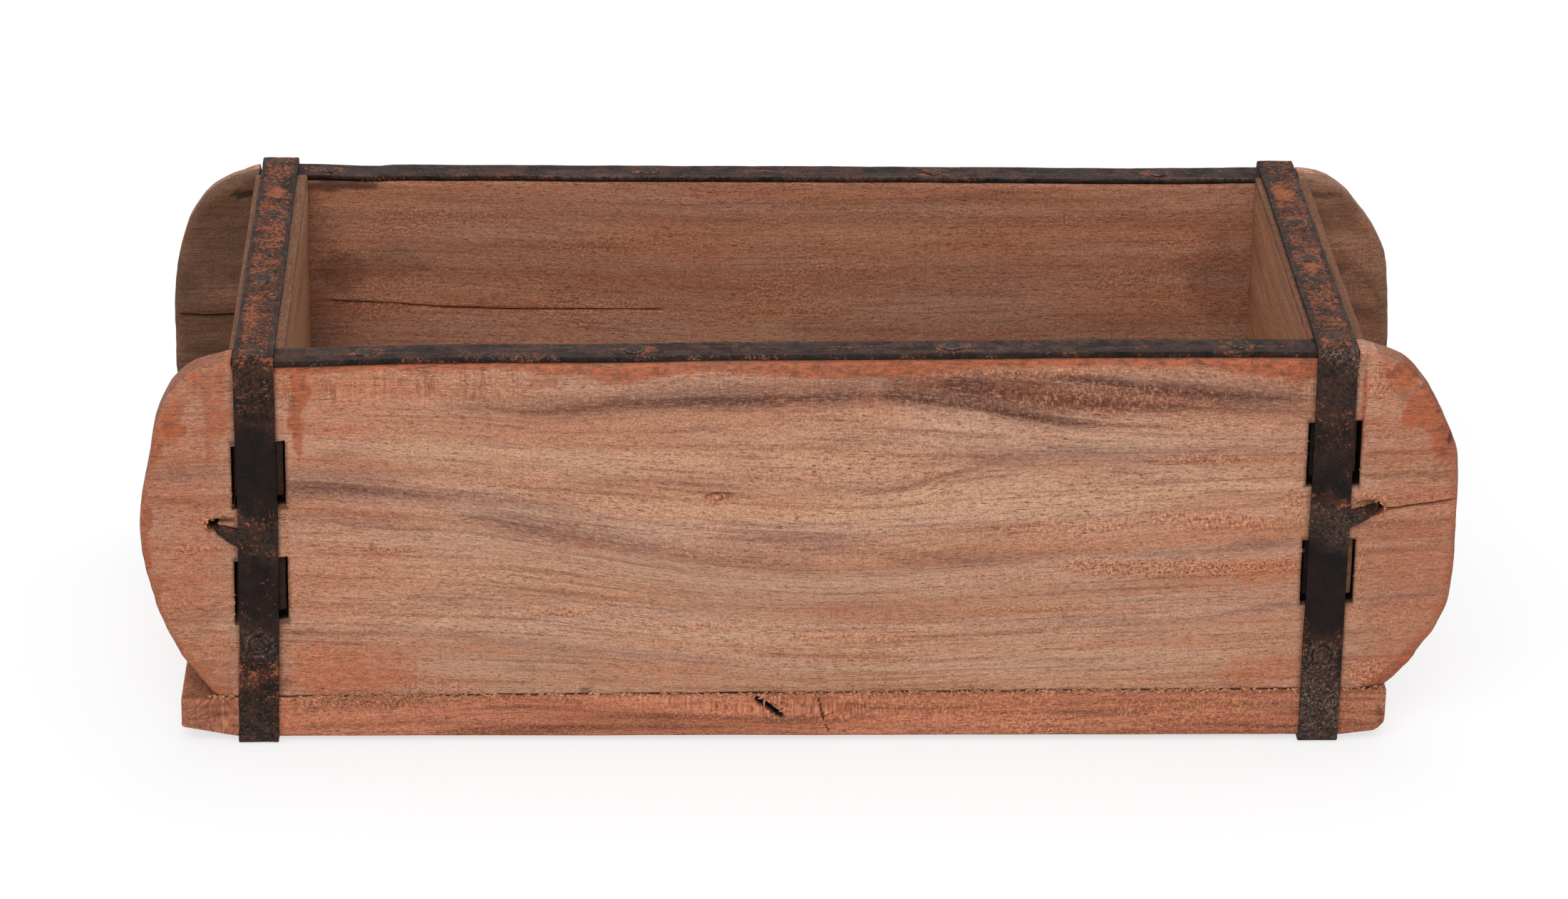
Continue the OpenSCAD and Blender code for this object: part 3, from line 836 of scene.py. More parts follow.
def crack_depth(x, z, line, depth):
    """Depth of a crack: a bell across its line that fades in and out over 3 mm at the line's ends."""
    across = z - np.interp(x, line[:, 0], line[:, 1])
    inside = ramp(x, line[0, 0], line[0, 0] + 3)
    inside *= ramp(-x, -line[-1, 0], 3 - line[-1, 0])
    return depth * bell(across, 0, CRACK_HALF) * inside


def edge_gap(flat, outline):
    """Distance from the outline for the points of a grid near its border, and FAR for the others."""
    border = np.zeros(flat.shape[:2], bool)
    border[:EDGE_CELLS] = border[-EDGE_CELLS:] = True
    border[:, :EDGE_CELLS] = border[:, -EDGE_CELLS:] = True
    gap = outline_gap(flat.reshape(-1, 2), outline, border.ravel()).reshape(border.shape)
    gap[0] = gap[-1] = gap[:, 0] = gap[:, -1] = 0
    return gap


def board_faces(side, flat, outline, cracks, gouges):
    """The outer and the inner face of a side board, as grids of points.

    Both sink into the board by the round of the edge, the waves of the surface, and the cracks and
    gouges. cracks are (outer face, line, depth), and gouges are
    (outer face, x, z, half length, half height, depth).
    """
    x, z = flat[..., 0], flat[..., 1]
    gap = edge_gap(flat, outline)
    solid = np.stack([x, z, np.full_like(x, side * 40.0)], -1)
    shift = 0.1 * noise(solid, (2.2, 2.2, 9), 3 + side)
    chips = noise(solid, (4, 4, 30), 11 + side, octaves=2)
    in_ear = ramp(np.abs(x), 133, 138)
    faces = {}
    for outer in (True, False):
        seed = 100 + 10 * side + outer
        solid[..., 2] = side * (FACE_Y if outer else WALL_Y)
        sink = rounded(gap, 0.9 + in_ear * (1.1 + 0.7 * chips) + 0.35 * chips)
        ribs = noise(solid, (16, 1.5, 9), seed + 1, 2)
        sink += 0.14 + 0.12 * noise(solid, (70, 12, 40), seed) + 0.05 * ribs
        for of_outer, line, depth in cracks:
            if of_outer == outer:
                sink += crack_depth(x, z, line, depth)
        for of_outer, gouge_x, gouge_z, half_x, half_z, depth in gouges:
            if of_outer == outer:
                reach = np.hypot((x - gouge_x) / half_x, (z - gouge_z) / half_z)
                reach += 0.28 * noise(solid, (1.1, 1.1, 9), seed + 2, 2)
                sink += depth * (1 - ramp(reach, 0.7, 1.15))
        y = side * (FACE_Y - sink) if outer else side * (WALL_Y + sink)
        faces[outer] = np.stack([x + shift, y, z + shift], -1)
        for row in (0, -1):
            faces[outer][row, :, 2] = z[row]
    return faces


def wall_loops(rows, flat):
    """Which cells of a side board's grid are wood, and the loops round its slots and its edge."""
    last_row, last_column = flat.shape[0] - 1, flat.shape[1] - 1
    keep = np.ones((last_row, last_column), bool)
    mid_row = flat[flat.shape[0] // 2, :, 0]
    loops = []
    for end in (LEFT, RIGHT):
        edges = sorted([INNER_X[end], SLOT_OUTER_X[end]])
        first, last = (int(np.argmin(np.abs(mid_row - edge))) for edge in edges)
        for number in (1, 3):
            bottom, top = np.searchsorted(rows[:, 0], (number, number + 1))
            keep[bottom:top, first:last] = False
            loops.append(loop_of(bottom, top, first, last))
    loops.append(loop_of(0, last_row, 0, last_column))
    return keep, loops


def board_wall(faces, loop, side):
    """Wall along a loop: the straight blend of the two faces' points, worn by small waves."""
    across = np.linspace(0, 1, WALL_ROWS)[:, None, None]
    wall = faces[True][loop] * (1 - across) + faces[False][loop] * across
    waves = noise(wall, (2.5, 3, 2.5), 40 + side, octaves=2) * np.sin(np.pi * across[..., 0])
    x = wall[..., 0]
    away = wall * (1, 0, 1) - np.stack([np.sign(x) * WEAR_X, 0 * x, 0 * x + WEAR_Z], -1)
    away /= np.linalg.norm(away, axis=-1, keepdims=True)
    size = np.where(np.abs(x) > 134, 0.28, 0.08)
    return wall - away * (np.abs(waves) * size)[..., None]


def side_board(side, cracks, gouges, flow, marks):
    """A side board: a grid for each face, and walls round its edge and its slots."""
    rows, flat, outline = board_grid(side, cracks, gouges)
    faces = board_faces(side, flat, outline, cracks, gouges)
    keep, loops = wall_loops(rows, flat)
    shell = Shell()
    for outer in (True, False):
        shell.add(faces[outer], keep)
    for loop in loops:
        shell.add(board_wall(faces, loop, side))
    shell.hold(*board_box(side))
    board_count = shell.count
    if side == FRONT:
        add_front_slivers(shell)
    points = shell.all_points()
    depth = FACE_Y - np.abs(points[:, 1])
    grain = np.stack([points[:, 0], flow(points[:, 0], points[:, 2]), side * depth], -1)
    layers = wood_layers(grain, *marks(points, depth < BOARD_T / 2))
    paint_slivers(layers, board_count, torn=1, flush=0.3)
    make_piece(f"{SIDE_WORDS[side]}_board", shell, side_wood, "side_wood", layers)


def add_front_slivers(shell):
    """Torn fibres on the front board: round the spurs' holes, beside the slots and along the foot."""
    random = np.random.default_rng(5)
    out = np.array([0.0, -1, 0])
    face = -FACE_Y + 0.25
    for end in (LEFT, RIGHT):
        hole_x, hole_z = SPUR_HOLES[end]
        angle = random.uniform(0, 2 * math.pi, 26)
        around = np.stack([np.cos(angle), 0 * angle, np.sin(angle)], -1)
        places = np.array([hole_x, face, hole_z]) + around * (1.5, 0, 1.4)
        ahead = around * (0.6, 0, 1) + (0.3 * end, 0, 0)
        shell.add_many(slivers(places, ahead, out, 1, 0.7, 6 + end))
        ahead = np.array([0.2 * end, 0, -1])
        for (bottom, _), (top, _) in SLOT_EDGES[end]:
            for edge in (INNER_X[end] - 0.3 * end, SLOT_OUTER_X[end] + 0.3 * end):
                z = random.uniform(bottom - 1.5, top + 1, 6)
                places = np.stack([edge + random.uniform(-0.3, 0.3, 6), np.full(6, face), z], -1)
                shell.add_many(slivers(places, ahead, out, 0.8, 0.4, int(edge) + 300))
    stretches = ((-118, 118, 240), (30, 100, 80), (130, 140, 22), (-140, -133, 18))
    x = np.concatenate([random.uniform(*stretch) for stretch in stretches])
    z = FLOOR_Z + FLOOR_TILT * x + random.uniform(-0.1, 0.5, len(x))
    z = np.where(x > 137, z + 0.5, z)
    places = np.stack([x, np.full(len(x), face - 0.1), z], -1)
    ahead = level_ahead(random, len(x), -0.5, 0.3)
    shell.add_many(slivers(places, ahead, out, 1.2, 0.6, 9))


def level_ahead(random, count, least_rise, most_rise):
    """Random directions to the left or the right that rise or fall a little."""
    ways = random.choice([-1.0, 1.0], count)
    return np.stack([ways, np.zeros(count), random.uniform(least_rise, most_rise, count)], -1)


def paint_slivers(layers, first, torn, flush):
    """Gives the splinters, which are the points from number first on, a pale torn look."""
    layers["marks"][first:] = (0, 0, torn, 0)
    layers["tints"][first:] = (0, 1, 0, flush)


def stacked(*values):
    """Layers of values from 0 to 1, or numbers that hold everywhere, side by side."""
    return np.clip(np.stack(np.broadcast_arrays(*values), -1), 0, 1)


def wood_layers(grain, clay, dark, torn, grime_and_shade, smoke, light, chatter, flush):
    """The layers that the wood finish reads."""
    return {
        "grain": grain, "marks": stacked(clay, dark, torn, grime_and_shade),
        "tints": stacked(smoke, light, chatter, flush),
    }


def loop_of(bottom, top, first, last):
    """Row and column numbers once round a rectangle of a grid, back to its first corner."""
    rows, columns = np.arange(bottom, top + 1), np.arange(first, last + 1)
    tall, wide = len(rows) - 1, len(columns) - 1
    row = np.concatenate([np.full(wide + 1, bottom), rows[1:], np.full(wide, top), rows[-2::-1]])
    column = np.concatenate([columns, np.full(tall, last), columns[-2::-1], np.full(tall, first)])
    return row, column


def board_box(side):
    """Box that a side board's points stay in. Its heights are free, because the board has settled."""
    low, high = span(f"{SIDE_WORDS[side]}_board")
    return (low[0], low[1], base_low[2]), (high[0], high[1], BAND_Z)


def patch(points, x, z, half_x, half_z, seed, ragged=0.5):
    """A stain from 0 to 1 round a place, with a ragged edge."""
    reach = np.hypot((points[:, 0] - x) / half_x, (points[:, 2] - z) / half_z)
    reach += ragged * noise(points, (half_x * 0.5 + 1, 9, half_z * 0.5 + 1), seed, 3)
    return 1 - ramp(reach, 0.55, 1.25)


def along_curve(knots, x):
    """The other columns of a row of knots at each x, along the smooth curve through the knots."""
    curve = smooth_line(knots, 1.5)
    return [np.interp(x, curve[:, 0], column) for column in curve.T[1:]]


def strokes(points, lines, seed):
    """Lines of the figure from 0 to 1: the strongest of the bells across the lines' paths.

    A line's knots hold x, height, half height and strength. It fades over 6 mm at either end.
    """
    x, total = points[:, 0], np.zeros(len(points))
    height = points[:, 2] + 0.5 * noise(points, (8, 9, 2.5), seed, 2)
    for knots in lines:
        level, half, strength = along_curve(knots, x)
        first, last = knots[0][0], knots[-1][0]
        ends = ramp(x, first - 3, first + 3) * ramp(-x, -last - 3, 3 - last)
        total = np.maximum(total, strength * ends * bell(height, level, np.maximum(half, 0.3)))
    return total


def patches(points, places, seed, ragged=0.5):
    """The strongest of several ragged stains, each given as x, height, half sizes and strength."""
    total = np.zeros(len(points))
    for x, z, half_x, half_z, strength in places:
        total = np.maximum(total, strength * patch(points, x, z, half_x, half_z, seed, ragged))
    return total


# Grain lines of the front face: heights at places along X, from the lowest line to the highest.
# A line's own value is its height at the second place.
FLOW_X = (-155, -118, -80, -60, -40, -20, 0, 20, 40, 60, 80, 118, 155)
FLOW_Z = (
    (10, 10, 10, 10, 10, 10, 10, 10, 10, 10, 10, 10, 10),
    (27, 26, 25, 24, 22, 20.5, 19, 18.8, 20, 21, 22, 24, 27),
    (39, 38, 37, 35.5, 33.5, 32, 31, 31, 31.5, 32.5, 33.5, 36, 39),
    (50, 50, 48.5, 46.5, 43, 40.5, 39, 39, 40, 41.5, 42.5, 45, 48),
    (60, 60, 57, 53.5, 50, 47, 45.5, 46, 48, 49.5, 50.5, 54, 56.5),
    (67, 67, 63, 60, 57.5, 55.5, 54.5, 55, 56.5, 58, 59.5, 63, 65),
    (74, 75, 72, 70.5, 69, 67.5, 66, 65.8, 68.5, 70, 69.8, 70.5, 72),
    (81, 82, 81, 79.5, 79, 79, 79, 78.5, 77.5, 76, 75.5, 76, 77.5),
    (86, 87, 86.4, 84.5, 86, 87.5, 88.3, 89, 86.5, 82.5, 81, 80, 81.5),
    (90, 91.5, 91, 90, 90.5, 91, 92.2, 93, 92.5, 89.5, 87, 85, 86),
    (95, 97, 97.3, 97.5, 97.7, 98, 98.3, 98.5, 97.5, 95.5, 93.5, 90, 90),
    (102, 103, 103, 103, 103, 103, 103, 103, 103, 103, 102, 100, 99),
)


def front_flow(x, z):
    """Value of the grain line through each place, blended evenly from one line to the next."""
    heights = [along_curve(list(zip(FLOW_X, line)), x)[0] for line in FLOW_Z]
    across = np.full_like(x, float(FLOW_Z[0][1]))
    for low, high, line, above in zip(heights[:-1], heights[1:], FLOW_Z[:-1], FLOW_Z[1:]):
        across += np.clip((z - low) / (high - low), 0, 1) * (above[1] - line[1])
    return across


def back_flow(x, z):
    """Slow waves of the back board's grain lines."""
    return z + 2.2 * np.sin(x / 47 + 1) * bell(z, 60, 40) + 0.8 * np.sin(x / 23 + z / 30)


def edge_marks(points, seed):
    """Clay along the ears' edges, and grime with painted shade: on the ears' edges, beside the bands and
    in the slots. Both side boards share them.
    """
    x, z = points[:, 0], points[:, 2]
    in_ear = np.abs(x) > 134
    wide = np.hypot((np.abs(x) - 118) / 37, (z - 54) / 45)
    rough = 0.5 * noise(points, (3, 3, 5), seed, 3) + 0.5 * noise(points, 14, seed + 1, 2)
    clay = ramp(wide, 0.92, 1) * in_ear * (0.62 + 0.8 * rough)
    depth = FACE_Y - np.abs(points[:, 1])
    # Away from the outer face the ears are painted darker, as shade on their rounded edges.
    shaded_ear_edge = ramp(depth + 0.5 * noise(points, (3, 3, 4), seed + 2, 2), 0.5, 1.3) * in_ear
    grime_and_shade = highest(0.07 * (np.abs(x) > 130), 0.42 * shaded_ear_edge)
    for end in (LEFT, RIGHT):
        beside = np.abs(x - BAND_X[end]) - BAND_W / 2
        # Painted shadow beside the band's edges.
        grime_and_shade = highest(grime_and_shade, 0.42 * (1 - ramp(beside, -0.2, 1.3)))
        slot_x = (INNER_X[end] + SLOT_OUTER_X[end]) / 2
        for (bottom_in, bottom_out), (top_in, top_out) in SLOT_EDGES[end]:
            slot_z, half_z = (bottom_in + bottom_out + top_in + top_out) / 4, (top_in - bottom_in) / 2
            gap = np.maximum(np.abs(x - slot_x) - SLOT_W / 2, np.abs(z - slot_z) - half_z - 0.3)
            # Painted shade round the slots and on their walls.
            in_slot = (gap < 0.4) * ramp(depth, 0.9, 1.5) * (depth < BOARD_T - 0.5)
            grime_and_shade = highest(grime_and_shade, 0.7 * (1 - ramp(gap, 0, 0.7)), in_slot)
    return clay * (1 - 0.6 * shaded_ear_edge), grime_and_shade


# Front face, as places seen in the photograph. Stains: x, height, half sizes, strength
FRONT_CLAY = (
    (-147.3, 80.6, 4.2, 5.2, 0.55), (-153.4, 52, 1.8, 11, 0.8), (-151.5, 36, 1.8, 10, 0.6),
    (-147, 23.5, 1.6, 5, 0.7), (-136.4, 82, 3.8, 10, 0.6), (-137.5, 93, 4.5, 3.5, 0.5),
    (-117.2, 91, 2.6, 7.5, 0.85), (-117.4, 81, 1.9, 9, 0.95), (-146.5, 80.8, 3.2, 4.2, 0.8),
    (131, 90, 0.8, 8, 0.9), (131.5, 79, 0.7, 4, 0.6), (-131.5, 97, 3, 1.2, 0.7), (-138, 14, 5, 1.6, 0.6),
    (145.5, 88, 4.4, 6, 1), (140.5, 94.6, 4.2, 2.8, 1), (150.5, 79.5, 2.6, 6, 1),
    (142.6, 84.5, 2.4, 4, 1), (-60, 93, 9, 1.7, 0.55), (-84, 95.3, 9, 1.4, 0.5), (114, 96, 5.5, 3.2, 0.8),
    (6, 95.5, 16, 1.8, 0.45),
)
# Clay under the rim strip: place along X, and how far down it reaches
RIM_CLAY = (
    (-120, 1.6), (-95, 1.5), (-70, 1.8), (-52, 3.6), (-42, 5), (-34, 4.2), (-18, 3), (0, 4.4), (18, 4.6),
    (36, 3), (60, 2.2), (88, 2.4), (98, 3.4), (110, 4.8), (120, 5.6),
)
# More stains: orange flush, torn fibres and saw chatter
FRONT_RED = (
    (-51.3, 51.3, 1.3, 1.5, 1), (-86, 62, 3, 1.5, 0.35), (79, 34.6, 0.7, 0.7, 1),
    (82, 34.1, 0.6, 0.7, 0.8), (92.3, 26.8, 1.1, 0.9, 0.8), (88, 37.6, 0.7, 1.2, 0.5),
    (-68.3, 38.7, 0.5, 1.1, 0.6), (-54, 54.5, 0.5, 2.5, 0.4), (106, 42.5, 3, 0.8, 0.5),
    (-108, 18, 17, 7.5, 0.55), (112, 18, 12, 6, 0.35), (110, 45, 9, 3, 0.35), (-40, 17, 25, 2.5, 0.25),
    (-110, 80.5, 9, 0.8, 0.35), (-104, 48, 16, 3, 0.22), (30, 16, 60, 2.4, 0.22), (-146, 50, 8, 30, 0.12),
)
FRONT_TORN = (
    (88, 45.5, 32, 2.3, 0.85), (50, 43, 12, 1.1, 0.5), (100, 57.5, 17, 2.4, 0.75),
    (60, 55.6, 20, 1.6, 0.5), (97, 73, 13, 1.5, 0.65), (-98, 50, 11, 0.8, 0.8), (-57, 34, 8, 1.3, 0.7),
    (-25, 30.2, 20, 1, 0.6), (15, 27, 17, 0.8, 0.75), (60, 34.7, 27, 0.6, 0.7), (12, 29.6, 14, 0.7, 0.4),
    (-45, 37, 10, 1, 0.35), (116, 61, 3, 6, 0.5), (-19.2, 63.1, 3.7, 1.4, 1), (70, 88, 26, 4.5, 0.35),
    (112, 95.5, 8, 3, 0.5), (134.5, 92, 4, 5, 0.55), (136, 18, 5, 4, 0.7), (134, 63, 4, 2.2, 0.7),
    (-138, 57.6, 4.5, 1.5, 0.7), (-141, 50.5, 8, 1.8, 0.6), (-62, 95.5, 55, 1.6, 0.45),
    (30, 95.5, 60, 2, 0.45), (-84, 15, 12, 2.4, 0.4), (132.8, 45, 1.2, 9, 0.6), (-120.4, 42, 0.9, 9, 0.7),
    (-120.3, 54, 0.8, 4, 0.7), (60, 16, 50, 2, 0.25),
)
FRONT_CHATTER = (
    (-102, 90.8, 19, 4.9, 1), (-76, 91.5, 14, 4, 0.7), (13, 32.6, 14, 2.3, 0.4),
    (14, 21.6, 15, 1.7, 0.45), (-8, 22, 7, 1.5, 0.3), (28, 93, 6, 2.6, 0.6), (15, 88.5, 4, 4.5, 0.4),
    (-20, 92, 40, 3.2, 0.3), (-142, 50, 7, 1.6, 0.6), (52, 91, 12, 3.4, 0.3), (118, 90, 5, 5, 0.25),
)

# Lines of the figure, of open gaps painted dark as their shade, of smoke and of light: knots of x,
# height, half height, strength
FRONT_DARK = (
    ((-84, 86.8, 0.7, 0.25), (-62, 85.2, 1.2, 0.45), (-50, 86, 1.6, 0.65), (-30, 87.2, 1.6, 0.75),
     (-6, 88.2, 1.6, 0.95), (18, 89.2, 1.6, 0.9), (38, 87, 1.5, 0.95), (52, 84.4, 1.6, 0.95),
     (62, 82.4, 1.3, 0.8), (72, 81.6, 0.8, 0.35), (90, 81, 0.6, 0.2)),
    ((10, 92.8, 1.4, 0.3), (30, 92.4, 2.2, 0.8), (46, 90.6, 3.1, 1), (58, 88.8, 3, 1),
     (72, 87.2, 2.3, 0.9), (92, 86.2, 1.2, 0.55), (118, 86, 0.9, 0.3)),
    ((40, 95.2, 0.7, 0.4), (60, 93.6, 1.1, 0.8), (76, 91.4, 1.3, 0.95), (90, 90.2, 1.3, 0.95),
     (106, 88.8, 1.1, 0.7), (118, 88.6, 0.8, 0.5)),
    ((-118, 66.4, 0.7, 0.3), (-104, 65.6, 0.8, 0.5), (-84, 63.6, 0.7, 0.3)),
    ((-60, 89, 2, 0.08), (-30, 91, 2.6, 0.24), (0, 92, 2.6, 0.3), (24, 93, 3, 0.4)),
    ((-114, 74, 1.4, 0.15), (-108, 74.2, 1.3, 0.35), (-101, 74, 1, 0.1)),
    ((118, 69.5, 0.9, 0.4), (136, 69, 1, 0.5), (148, 69.6, 0.9, 0.5), (154, 70, 0.8, 0.5)),
    ((133, 75, 0.5, 0.2), (146, 75.5, 0.6, 0.3), (154, 77, 0.6, 0.3)),
    ((131, 49, 0.7, 0.2), (142, 50, 0.7, 0.35), (154, 51, 0.6, 0.3)),
    ((-154, 62.5, 0.8, 0.3), (-144, 62, 0.8, 0.3), (-134, 61.5, 0.7, 0.2)),
    ((106, 35, 0.6, 0.2), (118, 36.4, 0.7, 0.3)),
)
FRONT_GAPS = (
    ((-138.6, 56.9, 0.4, 1), (-135, 57.4, 0.3, 1), (-132, 57.3, 0.25, 0.8)),
    ((134, 62.2, 0.3, 0.9), (136.4, 61.4, 0.3, 0.9)),
    ((-22.6, 64, 0.3, 0.95), (-19, 64.5, 0.36, 1), (-15.6, 64.2, 0.3, 1)),
    ((101.3, 13.5, 0.6, 0.5), (104, 20, 0.6, 0.6)), ((98.4, 13.2, 0.5, 0.35), (100, 16.5, 0.5, 0.4)),
    ((-124, 53.6, 0.3, 0.6), (-118.6, 52.8, 0.3, 0.7)),
)
FRONT_SMOKE = (
    ((18, 91, 3.6, 0.45), (40, 90.8, 4.6, 0.75), (64, 90.4, 4.8, 0.9), (90, 89.6, 3.8, 0.75),
     (119, 88.8, 3, 0.5)),
    ((-84, 88.4, 1.6, 0.2), (-60, 87.2, 2, 0.4), (-36, 88.4, 2.2, 0.5), (-10, 90, 2.6, 0.5),
     (14, 91, 3, 0.4)),
    ((-128, 66, 3.4, 0.5), (-112, 65.6, 2.7, 0.7), (-100, 65, 2.1, 0.62), (-80, 63, 1.5, 0.45),
     (-60, 60.5, 1.2, 0.3), (-50, 59, 1.5, 0.15)),
    ((-128, 70.5, 1.7, 0.3), (-105, 69.6, 1.6, 0.35), (-88, 69, 1.2, 0.15)),
    ((-84, 59.6, 1.2, 0.12), (-72, 57.5, 2.4, 0.45), (-60, 54.6, 3, 0.5), (-40, 51.5, 2.6, 0.42),
     (-20, 48, 2.4, 0.35), (5, 45.5, 2.5, 0.2)),
    ((-22, 53, 1.1, 0.2), (-6, 52.6, 1.2, 0.4), (8, 52.6, 1.4, 0.42), (20, 52.5, 1.2, 0.2)),
    ((18, 47, 1.5, 0.15), (32, 47.4, 1.6, 0.4), (46, 47.6, 1.8, 0.42), (62, 49.2, 1.1, 0.25),
     (92, 49.2, 0.8, 0.4), (106, 51.2, 1.6, 0.5), (118, 52, 1.2, 0.4)),
    ((0, 66, 1.2, 0.25), (14, 65.5, 1.2, 0.4), (24, 66, 1, 0.42), (36, 70, 0.7, 0.5), (46, 72, 0.8, 0.42),
     (56, 72, 0.6, 0.2)),
    ((32, 75.5, 2, 0.12), (46, 74.2, 2.6, 0.34), (62, 74.5, 2.4, 0.3), (118, 75, 2, 0.2)),
    ((-128, 28.5, 1.5, 0.35), (-105, 28.7, 1.2, 0.35), (-90, 29, 0.9, 0.22), (-70, 26.3, 1.2, 0.36),
     (-48, 24, 1, 0.34), (-20, 21, 0.8, 0.22)),
    ((-94, 38, 1.2, 0.2), (-80, 36.5, 1, 0.35), (-68, 35.3, 0.8, 0.2)),
    ((58, 32, 1.2, 0.22), (75, 31.5, 1, 0.34), (92, 31.5, 0.8, 0.25), (108, 34.6, 0.9, 0.3),
     (118, 36.2, 0.8, 0.3)),
    ((72, 96.8, 1, 0.2), (90, 94.8, 1.2, 0.34), (106, 92.6, 1.3, 0.34), (118, 92.5, 1.5, 0.34)),
    ((-128, 57.5, 3.2, 0.22), (-104, 58, 2.4, 0.25), (-90, 58, 2, 0.12)),
    ((96, 85, 1.8, 0.25), (120, 84.6, 2.2, 0.34)), ((70, 69.8, 0.4, 0.5), (84, 69.6, 0.4, 0.5)),
    ((-110, 57, 0.3, 0.5), (-100, 56, 0.3, 0.7), (-85, 55, 0.3, 0.5)),
    ((133, 56, 1.4, 0.25), (148, 57, 1.6, 0.3), (154, 58, 1.4, 0.3)),
    ((131, 36, 1.4, 0.2), (144, 38, 1.6, 0.25), (154, 40, 1.2, 0.2)),
    ((-153, 69, 1.8, 0.3), (-144, 69.5, 2, 0.34), (-134, 69, 1.6, 0.3)),
    ((-150, 33, 1.2, 0.22), (-142, 33, 1.4, 0.25), (-134, 33.5, 1.2, 0.2)),
)
FRONT_LIGHT = (
    ((-124, 78.6, 1.6, 0.4), (-100, 77.6, 1.8, 0.36), (-80, 75.6, 1.8, 0.36), (-60, 73.8, 1.9, 0.42),
     (-20, 72.6, 2.5, 0.36)),
    ((-54, 64, 3, 0.25), (-30, 61, 4, 0.42), (0, 60, 5, 0.55), (30, 62, 4.5, 0.55), (70, 64.6, 3.5, 0.55),
     (106, 66, 2.5, 0.42), (120, 67, 2, 0.3)),
    ((-120, 45, 3.5, 0.2), (-60, 43, 3.4, 0.32), (-36, 39, 3, 0.25)),
    ((52, 96.4, 0.8, 0.35), (68, 94.6, 0.9, 0.55), (80, 93.2, 1, 0.55), (94, 92, 1, 0.45),
     (110, 90.7, 1, 0.3)),
    ((-10, 74, 3, 0.3), (10, 72.4, 3, 0.36), (24, 70.6, 2, 0.25)),
    ((-100, 32.6, 1.4, 0.3), (-60, 30, 1.4, 0.25)), ((84, 22, 3, 0.25), (104, 22, 3.4, 0.3)),
    ((132, 88, 3, 0.6), (142, 86, 3, 0.6)),
    ((-60, 15.5, 2, 0.2), (0, 16, 4, 0.5), (60, 17, 4, 0.5), (100, 17, 4, 0.4)),
    ((-60, 30, 3, 0.2), (0, 26, 4, 0.5), (70, 25, 3, 0.4)), ((135, 82, 2, 0.3), (148, 66, 2, 0.2)),
)


# Spots of grime: knots in the right ear, and dents at the foot
EAR_SPOTS = ((151.8, 78.6, 0.9, 1.7, 0.8), (149, 85.3, 0.8, 0.8, 0.6))
FOOT_SPOTS = ((-121.5, 15.5, 2, 1.6, 0.45), (-50.5, 13.6, 2.2, 1, 0.5))


def between_bands(x):
    """Whether each place lies between the bands' middles."""
    return (x > BAND_X[LEFT]) & (x < BAND_X[RIGHT])


def front_grime_and_shade(points, inside, under_strip):
    """Painted shade of the front face: a shadow under the strip, shade in the spurs' holes, in the gaps
    and along the foot, and dark spots at knots and dents.
    """
    x, z = points[:, 0], points[:, 2]
    holes = [
        1 - ramp(np.hypot((x - hole_x) / 1.5, (z - hole_z) / 1.45), 0.7, 1.2)
        for hole_x, hole_z in SPUR_HOLES.values()
    ]
    foot = z - FLOOR_Z - FLOOR_TILT * x
    broken = ramp(noise(points, (5, 30, 30), 18, 2), -0.3, 0.1)
    return highest(
        0.6 * (1 - ramp(under_strip, 0.1, 0.9)) * inside, *holes,
        strokes(points, FRONT_GAPS, 17), broken * (1 - ramp(foot, 0.35, 0.8)),
        patches(points, EAR_SPOTS, 3), patches(points, FOOT_SPOTS, 4),
    )


def front_marks(points, outer):
    """All marks of the front board: clay, figure, torn grain, grime with painted shade, and tints."""
    x, z = points[:, 0], points[:, 2]
    clay, grime_and_shade = edge_marks(points, 71)
    inside = between_bands(x)
    under_strip = SEAT_Z + shift_at(x, -SIDE_MID_Y, SEAT_Z) - z
    rim = along_curve(RIM_CLAY, x)[0] - 1.2 + noise(points, (9, 40, 9), 5, 3)
    rim_clay = 0.9 * inside * (1 - ramp(under_strip, rim, rim + 2.4))
    clay = highest(clay, rim_clay, patches(points, FRONT_CLAY, 7, 0.8))
    flush = 0.08 + 0.16 * noise(points, (30, 20, 7), 12, 2) + patches(points, FRONT_RED, 8, 0.6)
    flush += 0.5 * ramp(np.abs(x), 127, 141)
    flush += 0.3 * bell(x, -112, 20) + 0.16 * bell(x, 112, 20)
    fuzzy = 0.1 + 0.14 * noise(points, (22, 9, 5), 10, 2)
    torn = highest(fuzzy, patches(points, FRONT_TORN, 9, 0.6))
    chatter = patches(points, FRONT_CHATTER, 13, 0.5)
    dark, smoke, light = (strokes(points, lines, 14) for lines in (FRONT_DARK, FRONT_SMOKE, FRONT_LIGHT))
    smoke = np.minimum(1.35 * smoke + 0.14 * ramp(np.abs(x), 128, 137), 0.85)
    inner = ~outer & inside
    # The inner face is painted darker towards the bottom, as shade inside the box.
    wall = 0.42 + 0.25 * (1 - z / SEAT_Z) + 0.12 * noise(points, 30, 8, 2)
    grime_and_shade = np.where(inner, wall, highest(grime_and_shade, front_grime_and_shade(points, inside, under_strip)))
    clay = np.where(inner, np.minimum(clay, 0.4), clay)
    seen = np.where(inner, 0.3, 1)
    return clay, dark * seen, torn, grime_and_shade, smoke * seen, light * seen, chatter * seen, flush


